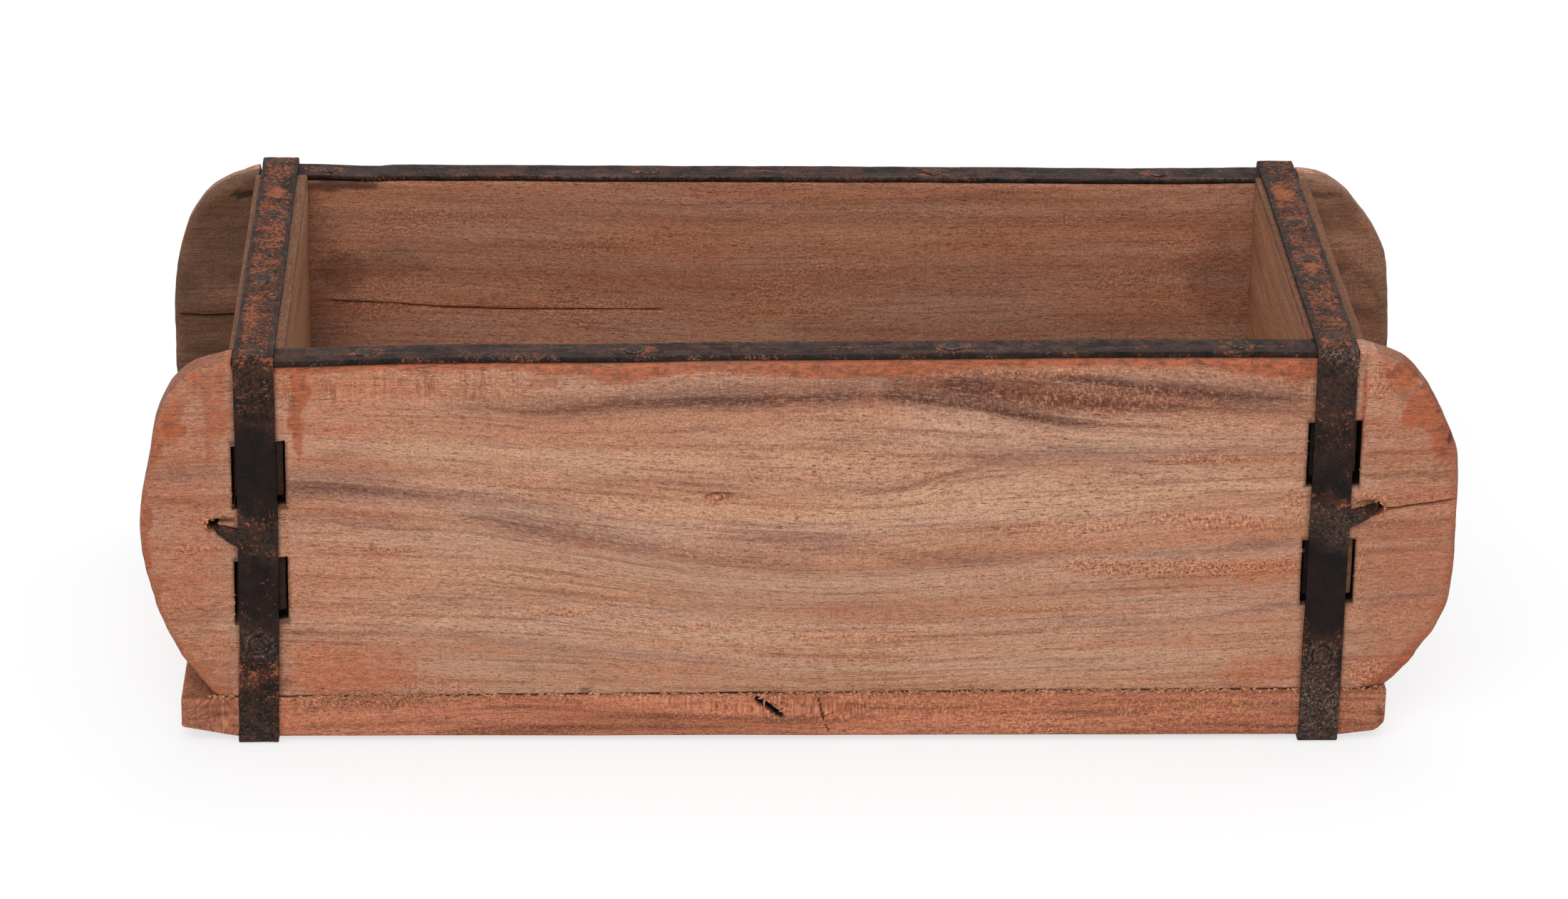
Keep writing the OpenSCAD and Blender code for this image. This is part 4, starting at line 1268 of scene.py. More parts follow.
# Inner face of the back board and its ears
BACK_DARK = (
    ((-110, 80, 2.2, 0.2), (-40, 80, 2.2, 0.2)), ((-60, 68, 3, 0.2), (60, 68, 3, 0.2)),
    ((0, 58, 3.5, 0.2), (118, 60, 3.5, 0.25)), ((-152, 52, 2, 0.5), (-134, 51, 2, 0.4)),
    ((128, 62, 2.4, 0.6), (154, 63, 2, 0.5)), ((128, 42, 3, 0.4), (154, 44, 3, 0.4)),
    ((-120, 56.4, 0.3, 0.7), (-108, 56, 0.3, 0.3)),
    # Along the inner crack, a dark line paints its shade.
    ((-116, 65.3, 0.3, 0.9), (-88, 63.5, 0.3, 0.9), (-60, 63, 0.25, 0.7), (-30, 62.8, 0.2, 0.3)),
    ((-45, 96.8, 0.5, 0.5), (0, 96.6, 0.7, 0.3), (30, 96, 0.8, 0.3)),
    ((30, 92, 1, 0.25), (60, 95, 0.8, 0.3)),
)
BACK_SMOKE = (
    ((-118, 88, 2, 0.4), (-60, 88.4, 1.8, 0.3), (0, 88, 1.6, 0.35), (60, 87.6, 1.6, 0.3),
     (118, 87, 2, 0.3)),
    ((-90, 92.6, 0.8, 0.35), (-40, 91.6, 0.9, 0.35), (20, 92, 0.9, 0.3), (90, 93, 0.8, 0.3)),
    ((-118, 74, 3, 0.3), (0, 73, 3, 0.25), (118, 74, 4, 0.3)),
    ((131, 71, 1.6, 0.7), (138, 75, 1.6, 0.6), (146, 74, 1.4, 0.6), (152, 66, 1.6, 0.6)),
    ((131, 60, 1.2, 0.6), (142, 64, 1.4, 0.6), (152, 60, 1.6, 0.5)),
)
BACK_LIGHT = (
    ((-70, 86, 1.2, 0.3), (-20, 85, 1.6, 0.45), (20, 83.6, 1.6, 0.35), (80, 84, 1.4, 0.25)),
    ((-70, 98.2, 0.5, 0.5), (-36, 97.9, 0.5, 0.6), (4, 97.5, 0.5, 0.4)),
    ((132, 82, 3, 0.5), (144, 82, 3, 0.7), (152, 78, 2, 0.5)),
    ((134, 65, 1.4, 0.6), (146, 69, 2, 0.7), (153, 62, 1.6, 0.5)), ((132, 50, 2, 0.4), (152, 54, 3, 0.5)),
)
# Dark patches of the inner face: x, height, half sizes, strength. The small one at the right end paints
# the shade in a notch.
BACK_GRIME_AND_SHADE = (
    (-112, 73.5, 7, 6.5, 0.44), (-99, 75, 10, 6, 0.36), (-112, 96.6, 11, 1.7, 0.8),
    (117.8, 64.6, 0.7, 1.3, 1), (112, 72, 12, 15, 0.4),
)


def back_marks(points, outer):
    """All marks of the back board, as front_marks gives them."""
    x, z = points[:, 0], points[:, 2]
    clay, grime_and_shade = edge_marks(points, 75)
    inside = between_bands(x)
    dark, smoke, light = (strokes(points, lines, 32) for lines in (BACK_DARK, BACK_SMOKE, BACK_LIGHT))
    torn = 0.12 + 0.3 * ramp(noise(points, (25, 9, 8), 31, 2), 0.1, 0.6)
    # The inner wall between the bands is painted darker towards the bottom and into the corners, as shade
    # inside the box.
    low = 1 - ramp(z, 30, 84)
    corners = ramp(np.abs(x + 2), 104, 121)
    walls = 0.07 + 0.27 * low + 0.2 * corners + 0.07 * noise(points, 25, 33, 2)
    walls = highest(walls, patches(points, BACK_GRIME_AND_SHADE, 35))
    # The ears' inner faces are darker, the left one more.
    ears = highest(
        np.where(x < 0, 0.78, 0.6) + 0.2 * noise(points, (12, 9, 6), 38, 2),
        0.95 * patch(points, -137, 94, 6, 1.6, 39), 0.8 * patch(points, 136, 94.4, 6, 1.1, 40),
        0.7 * patch(points, 138, 74, 9, 3, 42), grime_and_shade,
    )
    # Painted shadow along the top, under the strip.
    seam = 0.6 * (1 - ramp(SEAT_Z - z, 0.2, 1.2)) * inside
    grime_and_shade = highest(np.where(outer, np.maximum(grime_and_shade, 0.12), np.where(inside, walls, ears)), seam)
    flush = np.where(outer, 0.2, np.where(inside, 0.5, 0.1)) + 0.3 * noise(points, (30, 20, 9), 44, 2)
    flush = highest(flush, 0.9 * patch(points, 103, 97.6, 14, 0.8, 45))
    chatter = 0.3 * patch(points, -111, 72.5, 6, 4.6, 46)
    return clay, dark, torn, grime_and_shade, smoke, light, chatter, flush


def spur_gouges(end):
    """Hole that a spur's tip has broken into a side board, and the shallow chips over its tongue."""
    return (True, *SPUR_HOLES[end], 1.5, 1.5, 4.5), (True, *by_spur(end, -1.6, 1.6), 3, 0.9, 0.9)


# Cracks: whether in the outer face, line, depth. The inner ones are the back board's.
FRONT_CRACKS = [(True, np.array([(135.5, 60.3), (140, 60.6), (144, 61.3), (149, 61.9), (155, 63)]), 1.4)]
BACK_CRACKS = [
    (False, np.array([(-116.5, 65.3), (-100, 64.5), (-88, 63.5), (-70, 63), (-30, 62.8)]), 1),
    (False, np.array([(-155, 61.8), (-147, 61.1), (-139.4, 61.5), (-133, 61.2)]), 1.4),
]
BACK_GOUGES = [gouge for pair in zip(spur_gouges(LEFT), spur_gouges(RIGHT)) for gouge in pair]
FRONT_GOUGES = [*BACK_GOUGES, (True, -19.2, 63.3, 3.2, 1.15, 0.9)]
side_board(FRONT, FRONT_CRACKS, FRONT_GOUGES, front_flow, front_marks)
side_board(BACK, BACK_CRACKS, BACK_GOUGES, back_flow, back_marks)


def wave(points, seed, size, height):
    """Small uneven moves of a surface, in all three directions."""
    moves = [noise(points, size, seed + k, 2) for k in range(3)]
    return points + height * np.stack(moves, -1)


# How far an end board reaches in Y, just into the side boards' worn inner faces, the round of its
# edges, and the steps of the grids of the board and of its tenons
END_HALF_Y, END_ROUND = WALL_Y + 0.35, 0.5
END_STEPS, TENON_STEPS = (1.3, 1.3, 1.3), (0.9, 0.9, 0.9)


def add_tenon(shell, end, number, side):
    """The end of a tenon in its slot, sloped as the slot's bottom is."""
    (bottom_in, bottom_out), _ = SLOT_EDGES[end][number]
    wide = SEEN_TENON_W if (end, number, side) == (RIGHT, 0, FRONT) else TENON_W
    inner = INNER_X[end] + end * TENON_IN
    x = sorted([inner if side == FRONT else INNER_X[end], inner + end * wide])
    y = sorted([side * (END_HALF_Y - 1), side * TENON_Y])
    bottom = bottom_in + TENON_UNDER
    low, high = (x[0], y[0], bottom), (x[1], y[1], bottom + TENON_H)
    shell.add_box(low, high, box_levels(low, high, TENON_STEPS), END_ROUND)
    tilt = (bottom_out - bottom_in) / SLOT_W
    box_sides = shell.points[-6:]
    for points in box_sides:
        points[..., 2] += tilt * np.abs(points[..., 0] - INNER_X[end])


def end_board(end):
    """An end board with its four tenon ends. Its grain runs from side board to side board."""
    shell = Shell()
    low, high = end_spans[end]
    low, high = (low[0], -END_HALF_Y, FLOOR_Z), (high[0], END_HALF_Y, EAR_TOP)
    shell.add_box(low, high, box_levels(low, high, END_STEPS), END_ROUND)
    shell.settle()
    for number in (0, 1):
        for side in (FRONT, BACK):
            add_tenon(shell, end, number, side)
    shell.points = [wave(points, 50 + end, (4, 14, 2), 0.09) for points in shell.points]
    points = shell.all_points()
    x, y, z = points.T
    from_middle = np.abs(y)
    sag = 2 * np.sin(y / 31 + end)
    torn = 0.1 + 0.25 * ramp(noise(points, (9, 20, 7), 52, 2), 0.1, 0.5)
    under_rim = EAR_TOP + shift_at(x, y, z) - z
    ragged_rim = under_rim + 0.6 * noise(points, (3, 3, 2), 57, 2)
    # Painted shade: darker towards the floor, in the corners at the side boards and just under the band
    # along the top, and near black on the tenons in the slots, less where they show.
    corner = 0.5 * ramp(from_middle, 54.8, 56.4) * (from_middle < 57)
    seen = 0.05 * (end == LEFT) * (x > -122.8) + 0.42 * (end == RIGHT) * (x > 129) * (z < 60)
    grime_and_shade = highest(
        0.04 + 0.12 * (1 - ramp(z, 15, 70)) + 0.08 * noise(points, 22, 53, 2) + corner,
        0.7 * (1 - ramp(ragged_rim, 0.5, 1.9)),
        (0.98 - seen) * ramp(from_middle, WALL_Y + 1, WALL_Y + 3),
    )
    smoke = 0.3 * ramp(noise(points, (20, 60, 4), 55, 2), 0.2, 0.6)
    flush = (0 if end == LEFT else 0.2) + 0.25 * ramp(noise(points, (15, 15, 10), 54, 2), 0.25, 0.6)
    flush += 0.5 * (1 - ramp(under_rim, 0.5, 2.5))
    grain = np.stack([y, z + sag, x], -1)
    layers = wood_layers(grain, 0, 0, torn, grime_and_shade, smoke, 0, 0, flush)
    make_piece(f"{END_WORDS[end]}_end_board", shell, end_wood, "end_wood", layers)


end_board(LEFT)
end_board(RIGHT)

# Worn underside of the base's two ends: distance from the tip, and lift
TOE = {LEFT: ((0, 2.8), (0.7, 2.6), (13.4, 0)), RIGHT: ((0, 3.2), (2.1, 1), (10.6, 0))}

# Breaks in the base's front: where each starts and ends, half width, depth
BASE_BREAKS = (
    ((-10.3, 11.6), (-3.2, 6.2), 0.55, 2.2), ((4.6, 12), (6.4, 4.8), 0.16, 0.8),
    ((6.4, 4.8), (8, 1.8), 0.14, 0.6),
)

# Steps of the base's grids along X, Y and Z, the finer columns at the breaks, the round of its edges,
# and the dimples round its nails
BASE_STEPS, BREAK_COLUMNS, BASE_ROUND = (1.15, 1.4, 0.45), (-1.5, 11, 0.3), 0.7
DIMPLE_DEPTH, DIMPLE_RIM = 0.8, 1.6

# Stains of the base's front: x, height, half sizes, strength
BASE_TORN = ((-102, 11.2, 18, 1.9, 1), (-4.6, 9.4, 3.4, 2.4, 1), (95, 8, 24, 4, 0.5))
BASE_SPOTS = ((-32, 5.5, 5, 3.4, 0.25), (139, 7, 1.2, 4, 0.5))


def worn_base(points):
    """Points of the straight base moved by waves, the toes, the breaks and the nails' dimples.

    The underside is lifted along a straight toe at either end, and the front sinks by a bell
    across each break.
    """
    low, high = base_low, base_high
    points = wave(points, 60, (16, 4, 2.5), 0.12)
    share = np.clip((high[2] - points[:, 2]) / (high[2] - low[2]), 0, 1)
    for end, knots in TOE.items():
        tip = low[0] if end == LEFT else high[0]
        points[:, 2] += share * np.interp(np.abs(points[:, 0] - tip), *np.transpose(knots))
    in_front = ramp(-points[:, 1], FACE_Y - 1.2, FACE_Y - 0.4)
    points[:, 1] += in_front * base_break(points)
    under = share > 0.9
    for nail_x, nail_y in base_nail_places():
        reach = np.hypot(points[:, 0] - nail_x, points[:, 1] - nail_y)
        points[:, 2] += under * DIMPLE_DEPTH * (1 - ramp(reach, HEAD_R, HEAD_R + DIMPLE_RIM))
    return np.clip(points, low, high)


def base_layers(points):
    """The layers of the base: grain, marks and tints."""
    x, y, z = points.T
    low_z, high_z = base_low[2], base_high[2]
    in_front = y < -WALL_Y
    floor = (np.abs(x) < 120) & (z > high_z - 1) & (np.abs(y) < WALL_Y)
    top = ramp(z, high_z - 0.5, high_z - 0.1)
    swirl = 5 * bell(x, -20, 40) * np.sin(z / 3.2 + x / 30) + 2 * np.sin(x / 26)
    splay = 0.35 * (x + 118) * ramp(-x, 118, 146) * (z - 6) / 5
    clay = 0.1 + 0.3 * noise(points, (22, 14, 5), 61, 2)
    dark = 0.5 * ramp(noise(points, (34, 9, 1.3), 62, 3), 0, 0.4) + strokes(points, BASE_DARK, 65)
    torn = highest(
        0.25 + 0.35 * ramp(noise(points, (26, 12, 4), 63, 2), 0, 0.5),
        patches(points, BASE_TORN, 66), 0.9 * (np.abs(x + 6) < 4 - (12.6 - z) * 0.4) * (z > 6) * in_front,
    )
    # Grime and painted shade: the box's floor inside is painted as shade, the bottom edge and the breaks
    # are shaded, and the rest of the top and the left end are darker.
    grime_and_shade = highest(
        np.where(floor, 0.7, 0.42 * top) + 0.1 * noise(points, 24, 64, 2), 0.3 * (z < low_z + 0.6),
        patches(points, BASE_SPOTS, 67), ramp(base_break(points), 0.15, 0.5) * in_front,
        0.3 * ramp(-x, 128, 140),
    )
    flush = 0.3 + 0.4 * noise(points, (24, 12, 6), 68, 2)
    chatter = 0.3 * patch(points, 90, 8, 26, 4, 69)
    light = 0.5 * patch(points, -102, 11.4, 18, 1.2, 71) * in_front
    grain = np.stack([x, z + swirl + splay, y], -1)
    return wood_layers(grain, clay, dark, torn, grime_and_shade, 0, light, chatter, flush)


def base_board():
    """The base board: a worn box with rounded edges, and splinters along its front."""
    shell = Shell()
    levels = box_levels(base_low, base_high, BASE_STEPS)
    levels[0] = refined(levels[0], *BREAK_COLUMNS)
    shell.add_box(base_low, base_high, levels, BASE_ROUND)
    shell.points = [worn_base(points) for points in shell.points]
    shell.settle()
    board_count = shell.count
    add_base_slivers(shell)
    layers = base_layers(shell.all_points())
    paint_slivers(layers, board_count, torn=0.6, flush=0.45)
    make_piece("base_board", shell, base_wood, "base_wood", layers)


def base_break(points):
    """Depth of the breaks in the base's front: a bell across each line that fades at its ends."""
    sunk = np.zeros(len(points))
    for start, stop, half, depth in BASE_BREAKS:
        start, ahead = np.array(start), np.array(stop) - np.array(start)
        away = points[:, [0, 2]] - start
        share = away @ ahead / (ahead @ ahead)
        off = np.abs(away[:, 0] * ahead[1] - away[:, 1] * ahead[0]) / np.linalg.norm(ahead)
        wide = half * (1 + 0.4 * noise(points, (1.5, 9, 1.5), 69, 2))
        inside = ramp(share, -0.04, 0.12) * ramp(-share, -1.04, -0.7)
        sunk = np.maximum(sunk, depth * inside * np.exp(-((off / wide) ** 2)))
    return sunk


def add_base_slivers(shell):
    """Torn fibres along the top of the base's front, thick beside the left band, and in its break."""
    random = np.random.default_rng(15)
    in_break = 8
    stretches = ((-119, -84, 300), (-118, 118, 170), (-10, -2, in_break))
    x = np.concatenate([random.uniform(*stretch) for stretch in stretches])
    below = np.where(x < -84, 1.9, 0.5) * (1 - ramp(x, -96, -84) * (x < -84) * 0.6)
    z = FLOOR_Z + FLOOR_TILT * x - below * random.random(len(x)) ** 1.3
    z[-in_break:] -= (x[-in_break:] + 10) * 0.45
    places = np.stack([x, np.full(len(x), -FACE_Y + 0.1), z], -1)
    ahead = level_ahead(random, len(x), -0.8, 0.5)
    shell.add_many(slivers(places, ahead, np.array([0.0, -1, 0]), 1.7, 1.0, 16))


# Dark lines of the base's front: knots of x, height, half height, strength
BASE_DARK = (
    ((-146, 11.4, 0.5, 0.5), (-134, 12, 0.5, 0.5)), ((-146, 9, 0.5, 0.5), (-134, 10, 0.5, 0.5)),
    ((-146, 6, 0.6, 0.5), (-134, 8, 0.5, 0.5)), ((-146, 4, 0.5, 0.3), (-134, 5, 0.6, 0.5)),
    ((-118, 4, 0.8, 0.3), (-80, 5, 0.7, 0.4), (-40, 3, 0.6, 0.3)),
    ((100, 4.5, 0.5, 0.5), (128, 3.5, 0.5, 0.5), (140, 5, 0.5, 0.4)),
    ((60, 8, 0.6, 0.3), (100, 9, 0.7, 0.5), (140, 8, 0.6, 0.5)),
    ((120, 11.5, 0.5, 0.4), (140, 11, 0.5, 0.6)),
)


def base_nail_places():
    """Places of the nails up through the base."""
    sides = [(x, side * SIDE_MID_Y) for x in BASE_NAIL_X for side in (FRONT, BACK)]
    ends = [((INNER_X[end] + OUTER_X[end]) / 2, y) for end in (LEFT, RIGHT) for y in END_NAIL_Y]
    return sides + ends


base_board()


def bar_profile(width, thick, round_off=0.32, count=13):
    """Section of a flat bar as a loop of (across, out): outer side, edge, inner side, other edge."""
    w, h, r = width / 2, thick / 2, round_off
    outer = [(a, h) for a in np.linspace(r - w, w - r, count)]
    inner = [(a, -h) for a in np.linspace(w - r, r - w, 5)]
    edge = [(w - 0.3 * r, h - 0.3 * r), (w, h - r), (w, r - h), (w - 0.3 * r, 0.3 * r - h)]
    other = [(r - w - 0.7 * r, 0.3 * r - h), (-w, r - h), (-w, h - r), (0.3 * r - w, h - 0.3 * r)]
    return np.array(outer + edge + inner + other)


def swept(path, out, across, profile, widths, heights=1):
    """Rings of a profile along a path: path point + across times one value + out times the other.

    Both values are first multiplied by the width and the height at the path point.
    """
    wide = profile[:, 0] * np.reshape(widths, (-1, 1))
    high = profile[:, 1] * np.reshape(heights, (-1, 1))
    return path[:, None] + across[:, None] * wide[..., None] + out[:, None] * high[..., None]


def rusted(rings, path, out, across, seed, depth=0.16):
    """Lets rust eat a swept bar: pits in its surface and a wandering edge."""
    away = rings - path[:, None]
    height = (away * out[:, None]).sum(-1, keepdims=True)
    wide = (away * across[:, None]).sum(-1, keepdims=True)
    outside = ramp(height, 0, IRON_T / 2)
    pits = 0.6 * noise(rings, 5.5, seed, 2) + 0.4 * noise(rings, 1.6, seed + 1, 2)
    sunk = -depth * outside * (0.5 + pits[..., None])
    edge = np.sign(wide) * ramp(np.abs(wide), 2, np.abs(wide).max())
    wander = (0.2 * noise(rings, 7, seed + 2, 3) - 0.14)[..., None] * edge
    return rings + out[:, None] * sunk + across[:, None] * wander


# Radius of the bands' folds, length of their legs under the base, and steps of the rings along the
# face and the top, along a leg, round a fold and, finer, within a reach of a spur
FOLD_R, UNDER_LEG = 1.2, 34
FACE_STEP, LEG_STEP, FOLD_RINGS, SPUR_STEPS = 0.8, 1.2, 7, (7, 0.35)

# How far the bands' front faces wander along X: height, and shift
BAND_LEAN = {
    LEFT: ((0, -0.7), (10, -0.5), (30, 0.05), (60, 0.35), (90, 0.05), (100, 0)),
    RIGHT: ((0, 0.1), (60, 0.1), (100, 0)),
}


def band_path(end):
    """Middle line of a band, as points and outward directions, from leg to leg over the top."""
    middle = BAND_Y - IRON_T / 2
    y, low, high = middle - FOLD_R, IRON_T / 2 + FOLD_R, BAND_Z - IRON_T / 2 - FOLD_R
    face = np.arange(low, high, FACE_STEP)[1:]
    face = refined(face, spur_heights(end, FRONT)[0], *SPUR_STEPS)
    top = np.arange(-y, y, FACE_STEP)[1:]
    leg = np.arange(FACE_Y - UNDER_LEG, y, LEG_STEP)
    turn = np.radians(np.linspace(0, 90, FOLD_RINGS))

    def line(ys, zs, direction):
        """A straight stretch: its points and their outward direction."""
        ys, zs = np.broadcast_arrays(ys, zs)
        return np.stack([ys, zs], -1), np.broadcast_to(direction, (len(ys), 2))

    def fold(side, z, start, sign):
        """A quarter circle round a corner, from a starting angle on."""
        angle = start + sign * turn
        direction = np.stack([side * np.cos(angle), np.sin(angle)], -1)
        return np.array([side * y, z]) + FOLD_R * direction, direction

    def half(side):
        """The stretches from a leg's end up to the top."""
        return [
            line(side * leg, IRON_T / 2, (0, -1)), fold(side, low, -math.pi / 2, 1),
            line(side * middle, face, (side, 0)), fold(side, high, 0, 1),
        ]

    back = [(points[::-1], out[::-1]) for points, out in half(BACK)[::-1]]
    stretches = half(FRONT) + [line(top, BAND_Z - IRON_T / 2, (0, 1))] + back
    flat = np.concatenate([points for points, _ in stretches])
    out = np.concatenate([direction for _, direction in stretches])
    path = np.column_stack([np.full(len(flat), BAND_X[end]), flat])
    return path, np.column_stack([np.zeros(len(out)), out])


def spur_heights(end, side):
    """Heights of a spur's root and tip in the straight box."""
    places = np.array([SPUR_ROOT_Z[end], SPUR_Z[end]])
    return unsettled_height(BAND_X[end], side * FACE_Y, places)


def spur_rings(end, side):
    """A spur: a flat tongue that leaves the band's edge, bends to the wood and narrows into the hole."""
    edge = BAND_X[end] + end * BAND_W / 2
    reach, lift = SPUR_REACH[end], SPUR_LIFT[end]
    root_z, tip_z = spur_heights(end, side)
    # Each knot holds x, distance from the middle in Y, height, and the tongue's width and thickness
    knots = [
        (edge - end * 3.2, BAND_Y - 0.72, root_z - 0.6, 4.4, 0.8),
        (edge - end, BAND_Y - 0.35, root_z - 0.25, 4.4, 1.35),
        (edge + end * 0.8, BAND_Y - 0.42, root_z + 0.3, 3.9, 1.45),
        (edge + end * (reach - 2.2), BAND_Y - 0.7, tip_z - 0.75 + lift, 3.1, 1.35),
        (edge + end * (reach - 0.5), BAND_Y - 1.3, tip_z - 0.05 + 0.6 * lift, 2.4, 1.2),
        (edge + end * (reach + 0.3), BAND_Y - 3.2, tip_z + 0.1, 1.5, 1),
        (edge + end * (reach + 0.4), BAND_Y - 5.2, tip_z, 0.8, 0.7),
    ]
    line = smooth_line(knots, 0.35)
    path = line[:, :3]
    ahead = np.gradient(path, axis=0)
    ahead /= np.linalg.norm(ahead, axis=1, keepdims=True)
    upright = np.broadcast_to([0.0, 0, 1], path.shape)
    out = np.cross(upright, ahead) * -end
    out /= np.linalg.norm(out, axis=1, keepdims=True)
    up = np.cross(ahead, out)
    profile = bar_profile(1, 1, 0.16, 7)
    rings = swept(path, out, up, profile, line[:, 3], line[:, 4])
    rings = wave(rings, 80 + end, 1.1, 0.13)
    rings[..., 1] *= -side
    return rings


def iron_layers(points, flecked, worn, black, salted):
    """The layers that the iron finish reads."""
    return {"grain": points, "marks": stacked(flecked, worn, black, salted)}


# Zones down each band's face: height, then flecks, worn metal, black and salts there
BAND_ZONES = {
    LEFT: (
        (0, 0.35, 0.3, 0.1, 0.35), (11, 0.4, 0.15, 0.1, 0.2), (15, 0.62, 0.1, 0.05, 0.1),
        (20, 0.62, 0.05, 0.1, 0.1), (24, 0.5, 0.35, 0.3, 0.2), (30, 0.4, 0.3, 0.5, 0.1),
        (35, 0.4, 0.05, 0.9, 0), (47, 0.4, 0.05, 0.85, 0), (52, 0.5, 0.3, 0.3, 0.15),
        (58, 0.54, 0.15, 0.2, 0.2), (62, 0.4, 0, 0.8, 0), (66, 0.25, 0, 1, 0),
        (77, 0.2, 0, 1, 0), (81, 0.4, 0, 0.6, 0.1), (84, 0.5, 0.05, 0.35, 0.2),
        (94, 0.5, 0.05, 0.3, 0.2), (97, 0.62, 0.1, 0.1, 0.2), (100, 0.7, 0.1, 0, 0.1),
    ),
    RIGHT: (
        (0, 0.3, 0.5, 0.1, 0.5), (8, 0.25, 0.6, 0, 0.8), (16, 0.35, 0.4, 0.1, 0.7),
        (20, 0.5, 0.2, 0.3, 0.3), (28, 0.55, 0.1, 0.5, 0.05), (33, 0.2, 0, 0.95, 0),
        (50, 0.2, 0, 1, 0), (54, 0.3, 0.4, 0.3, 0.3), (60, 0.45, 0.4, 0.15, 0.4),
        (63, 0.6, 0.1, 0.2, 0.1), (67, 0.3, 0, 0.8, 0), (74, 0.4, 0.05, 0.75, 0.1),
        (82, 0.55, 0.1, 0.3, 0.15), (88, 0.42, 0.35, 0.4, 0.1), (96, 0.42, 0.3, 0.4, 0.1),
        (99, 0.4, 0.5, 0.1, 1), (101, 0.5, 0.5, 0, 0.8),
    ),
}

# Rust spots on each band's top: x from the middle, y, half sizes
BAND_TOP_RUST = {
    LEFT: ((0.5, 40, 3.5, 7), (1.5, 27, 3, 3)),
    RIGHT: ((-1, 41, 3.8, 8), (0.5, 20, 3, 5), (0.5, -12, 2.5, 6)),
}


def band_shell(end):
    """The folded bar of a band and its two spurs, rusted and wandering a little."""
    path, out = band_path(end)
    across = np.broadcast_to([1.0, 0, 0], path.shape)
    widths = 1 + 0.012 * noise(path, 30, 70 + end, 2) - 0.05 * ramp(path[:, 1], -20, 50)
    rings = swept(path, out, across, bar_profile(BAND_W - 0.1, IRON_T), widths)
    shell = Shell()
    shell.add_tube(rusted(rings, path, out, across, 72 + end))
    for side in (FRONT, BACK):
        shell.add_tube(spur_rings(end, side))
    (_, low_y, low_z), (_, high_y, high_z) = band_spans[end]
    shell.hold((-np.inf, low_y, low_z), (np.inf, high_y, high_z))
    shell.settle()
    for points in shell.points:
        front = ramp(-points[:, 1], 55, 64)
        points[:, 0] += front * np.interp(points[:, 2], *np.transpose(BAND_LEAN[end]))
    return shell


def band(end):
    """A band with its spurs. Its top is rustier than its faces, and its edges are worn."""
    shell = band_shell(end)
    points = shell.all_points()
    x, y, z = points.T
    off = x - BAND_X[end]
    top = ramp(z, BAND_Z - 3.6, BAND_Z - 2) * (np.abs(y) < BAND_Y - 1.2)
    mottled = noise(points, (3.5, 4, 5), 77 + end, 3)
    zones = np.transpose(BAND_ZONES[end])
    slant = z + 0.35 * off + 2.5 * mottled
    flecked, worn, black, salted = (np.interp(slant, zones[0], zone) for zone in zones[1:])
    flecked += 0.25 * noise(points, (2, 2.5, 2.5), 74 + end, 2)
    hammered = noise(points, (5, 1.1, 3), 75 + end, 3)
    rusty = 0.7 + 0.16 * hammered + 0.22 * mottled
    for spot_x, spot_y, half_x, half_y in BAND_TOP_RUST[end]:
        reach = np.hypot((off - spot_x) / half_x, (y - spot_y) / half_y) + 0.5 * noise(points, 2, 76, 2)
        rusty = highest(rusty, 0.92 * (1 - ramp(reach, 0.5, 1.2)) + 0.12 * hammered)
    edge = 1 - ramp(BAND_W / 2 - np.abs(off) + 0.4 * mottled, 0.3, 1.7)
    rusty = rusty * (1 - 0.8 * edge)
    flecked = flecked * (1 - top) + rusty * top
    worn = worn * (1 - top) + top * (0.45 * edge + 0.25 * ramp(noise(points, 4, 78, 2), 0, 0.5))
    black = black * (1 - top) + top * 0.25 * ramp(mottled, 0.1, 0.5)
    salted = salted * (1 - top)
    ring = np.hypot(off, z - FACE_NAIL_Z[end]) / FACE_HEAD_R
    on_face = np.abs(y) > FACE_Y
    near = on_face * bell(ring, 1.42, 0.16)
    black = highest(black * (1 - near), on_face * bell(ring, 1.14, 0.13))
    layers = iron_layers(points, flecked, highest(worn, near), black, highest(salted, 0.9 * near))
    make_piece(f"{END_WORDS[end]}_band", shell, band_iron, "band_iron", layers)


band(LEFT)
band(RIGHT)


# Distance between the rings of a strip
STRIP_STEP = 0.7


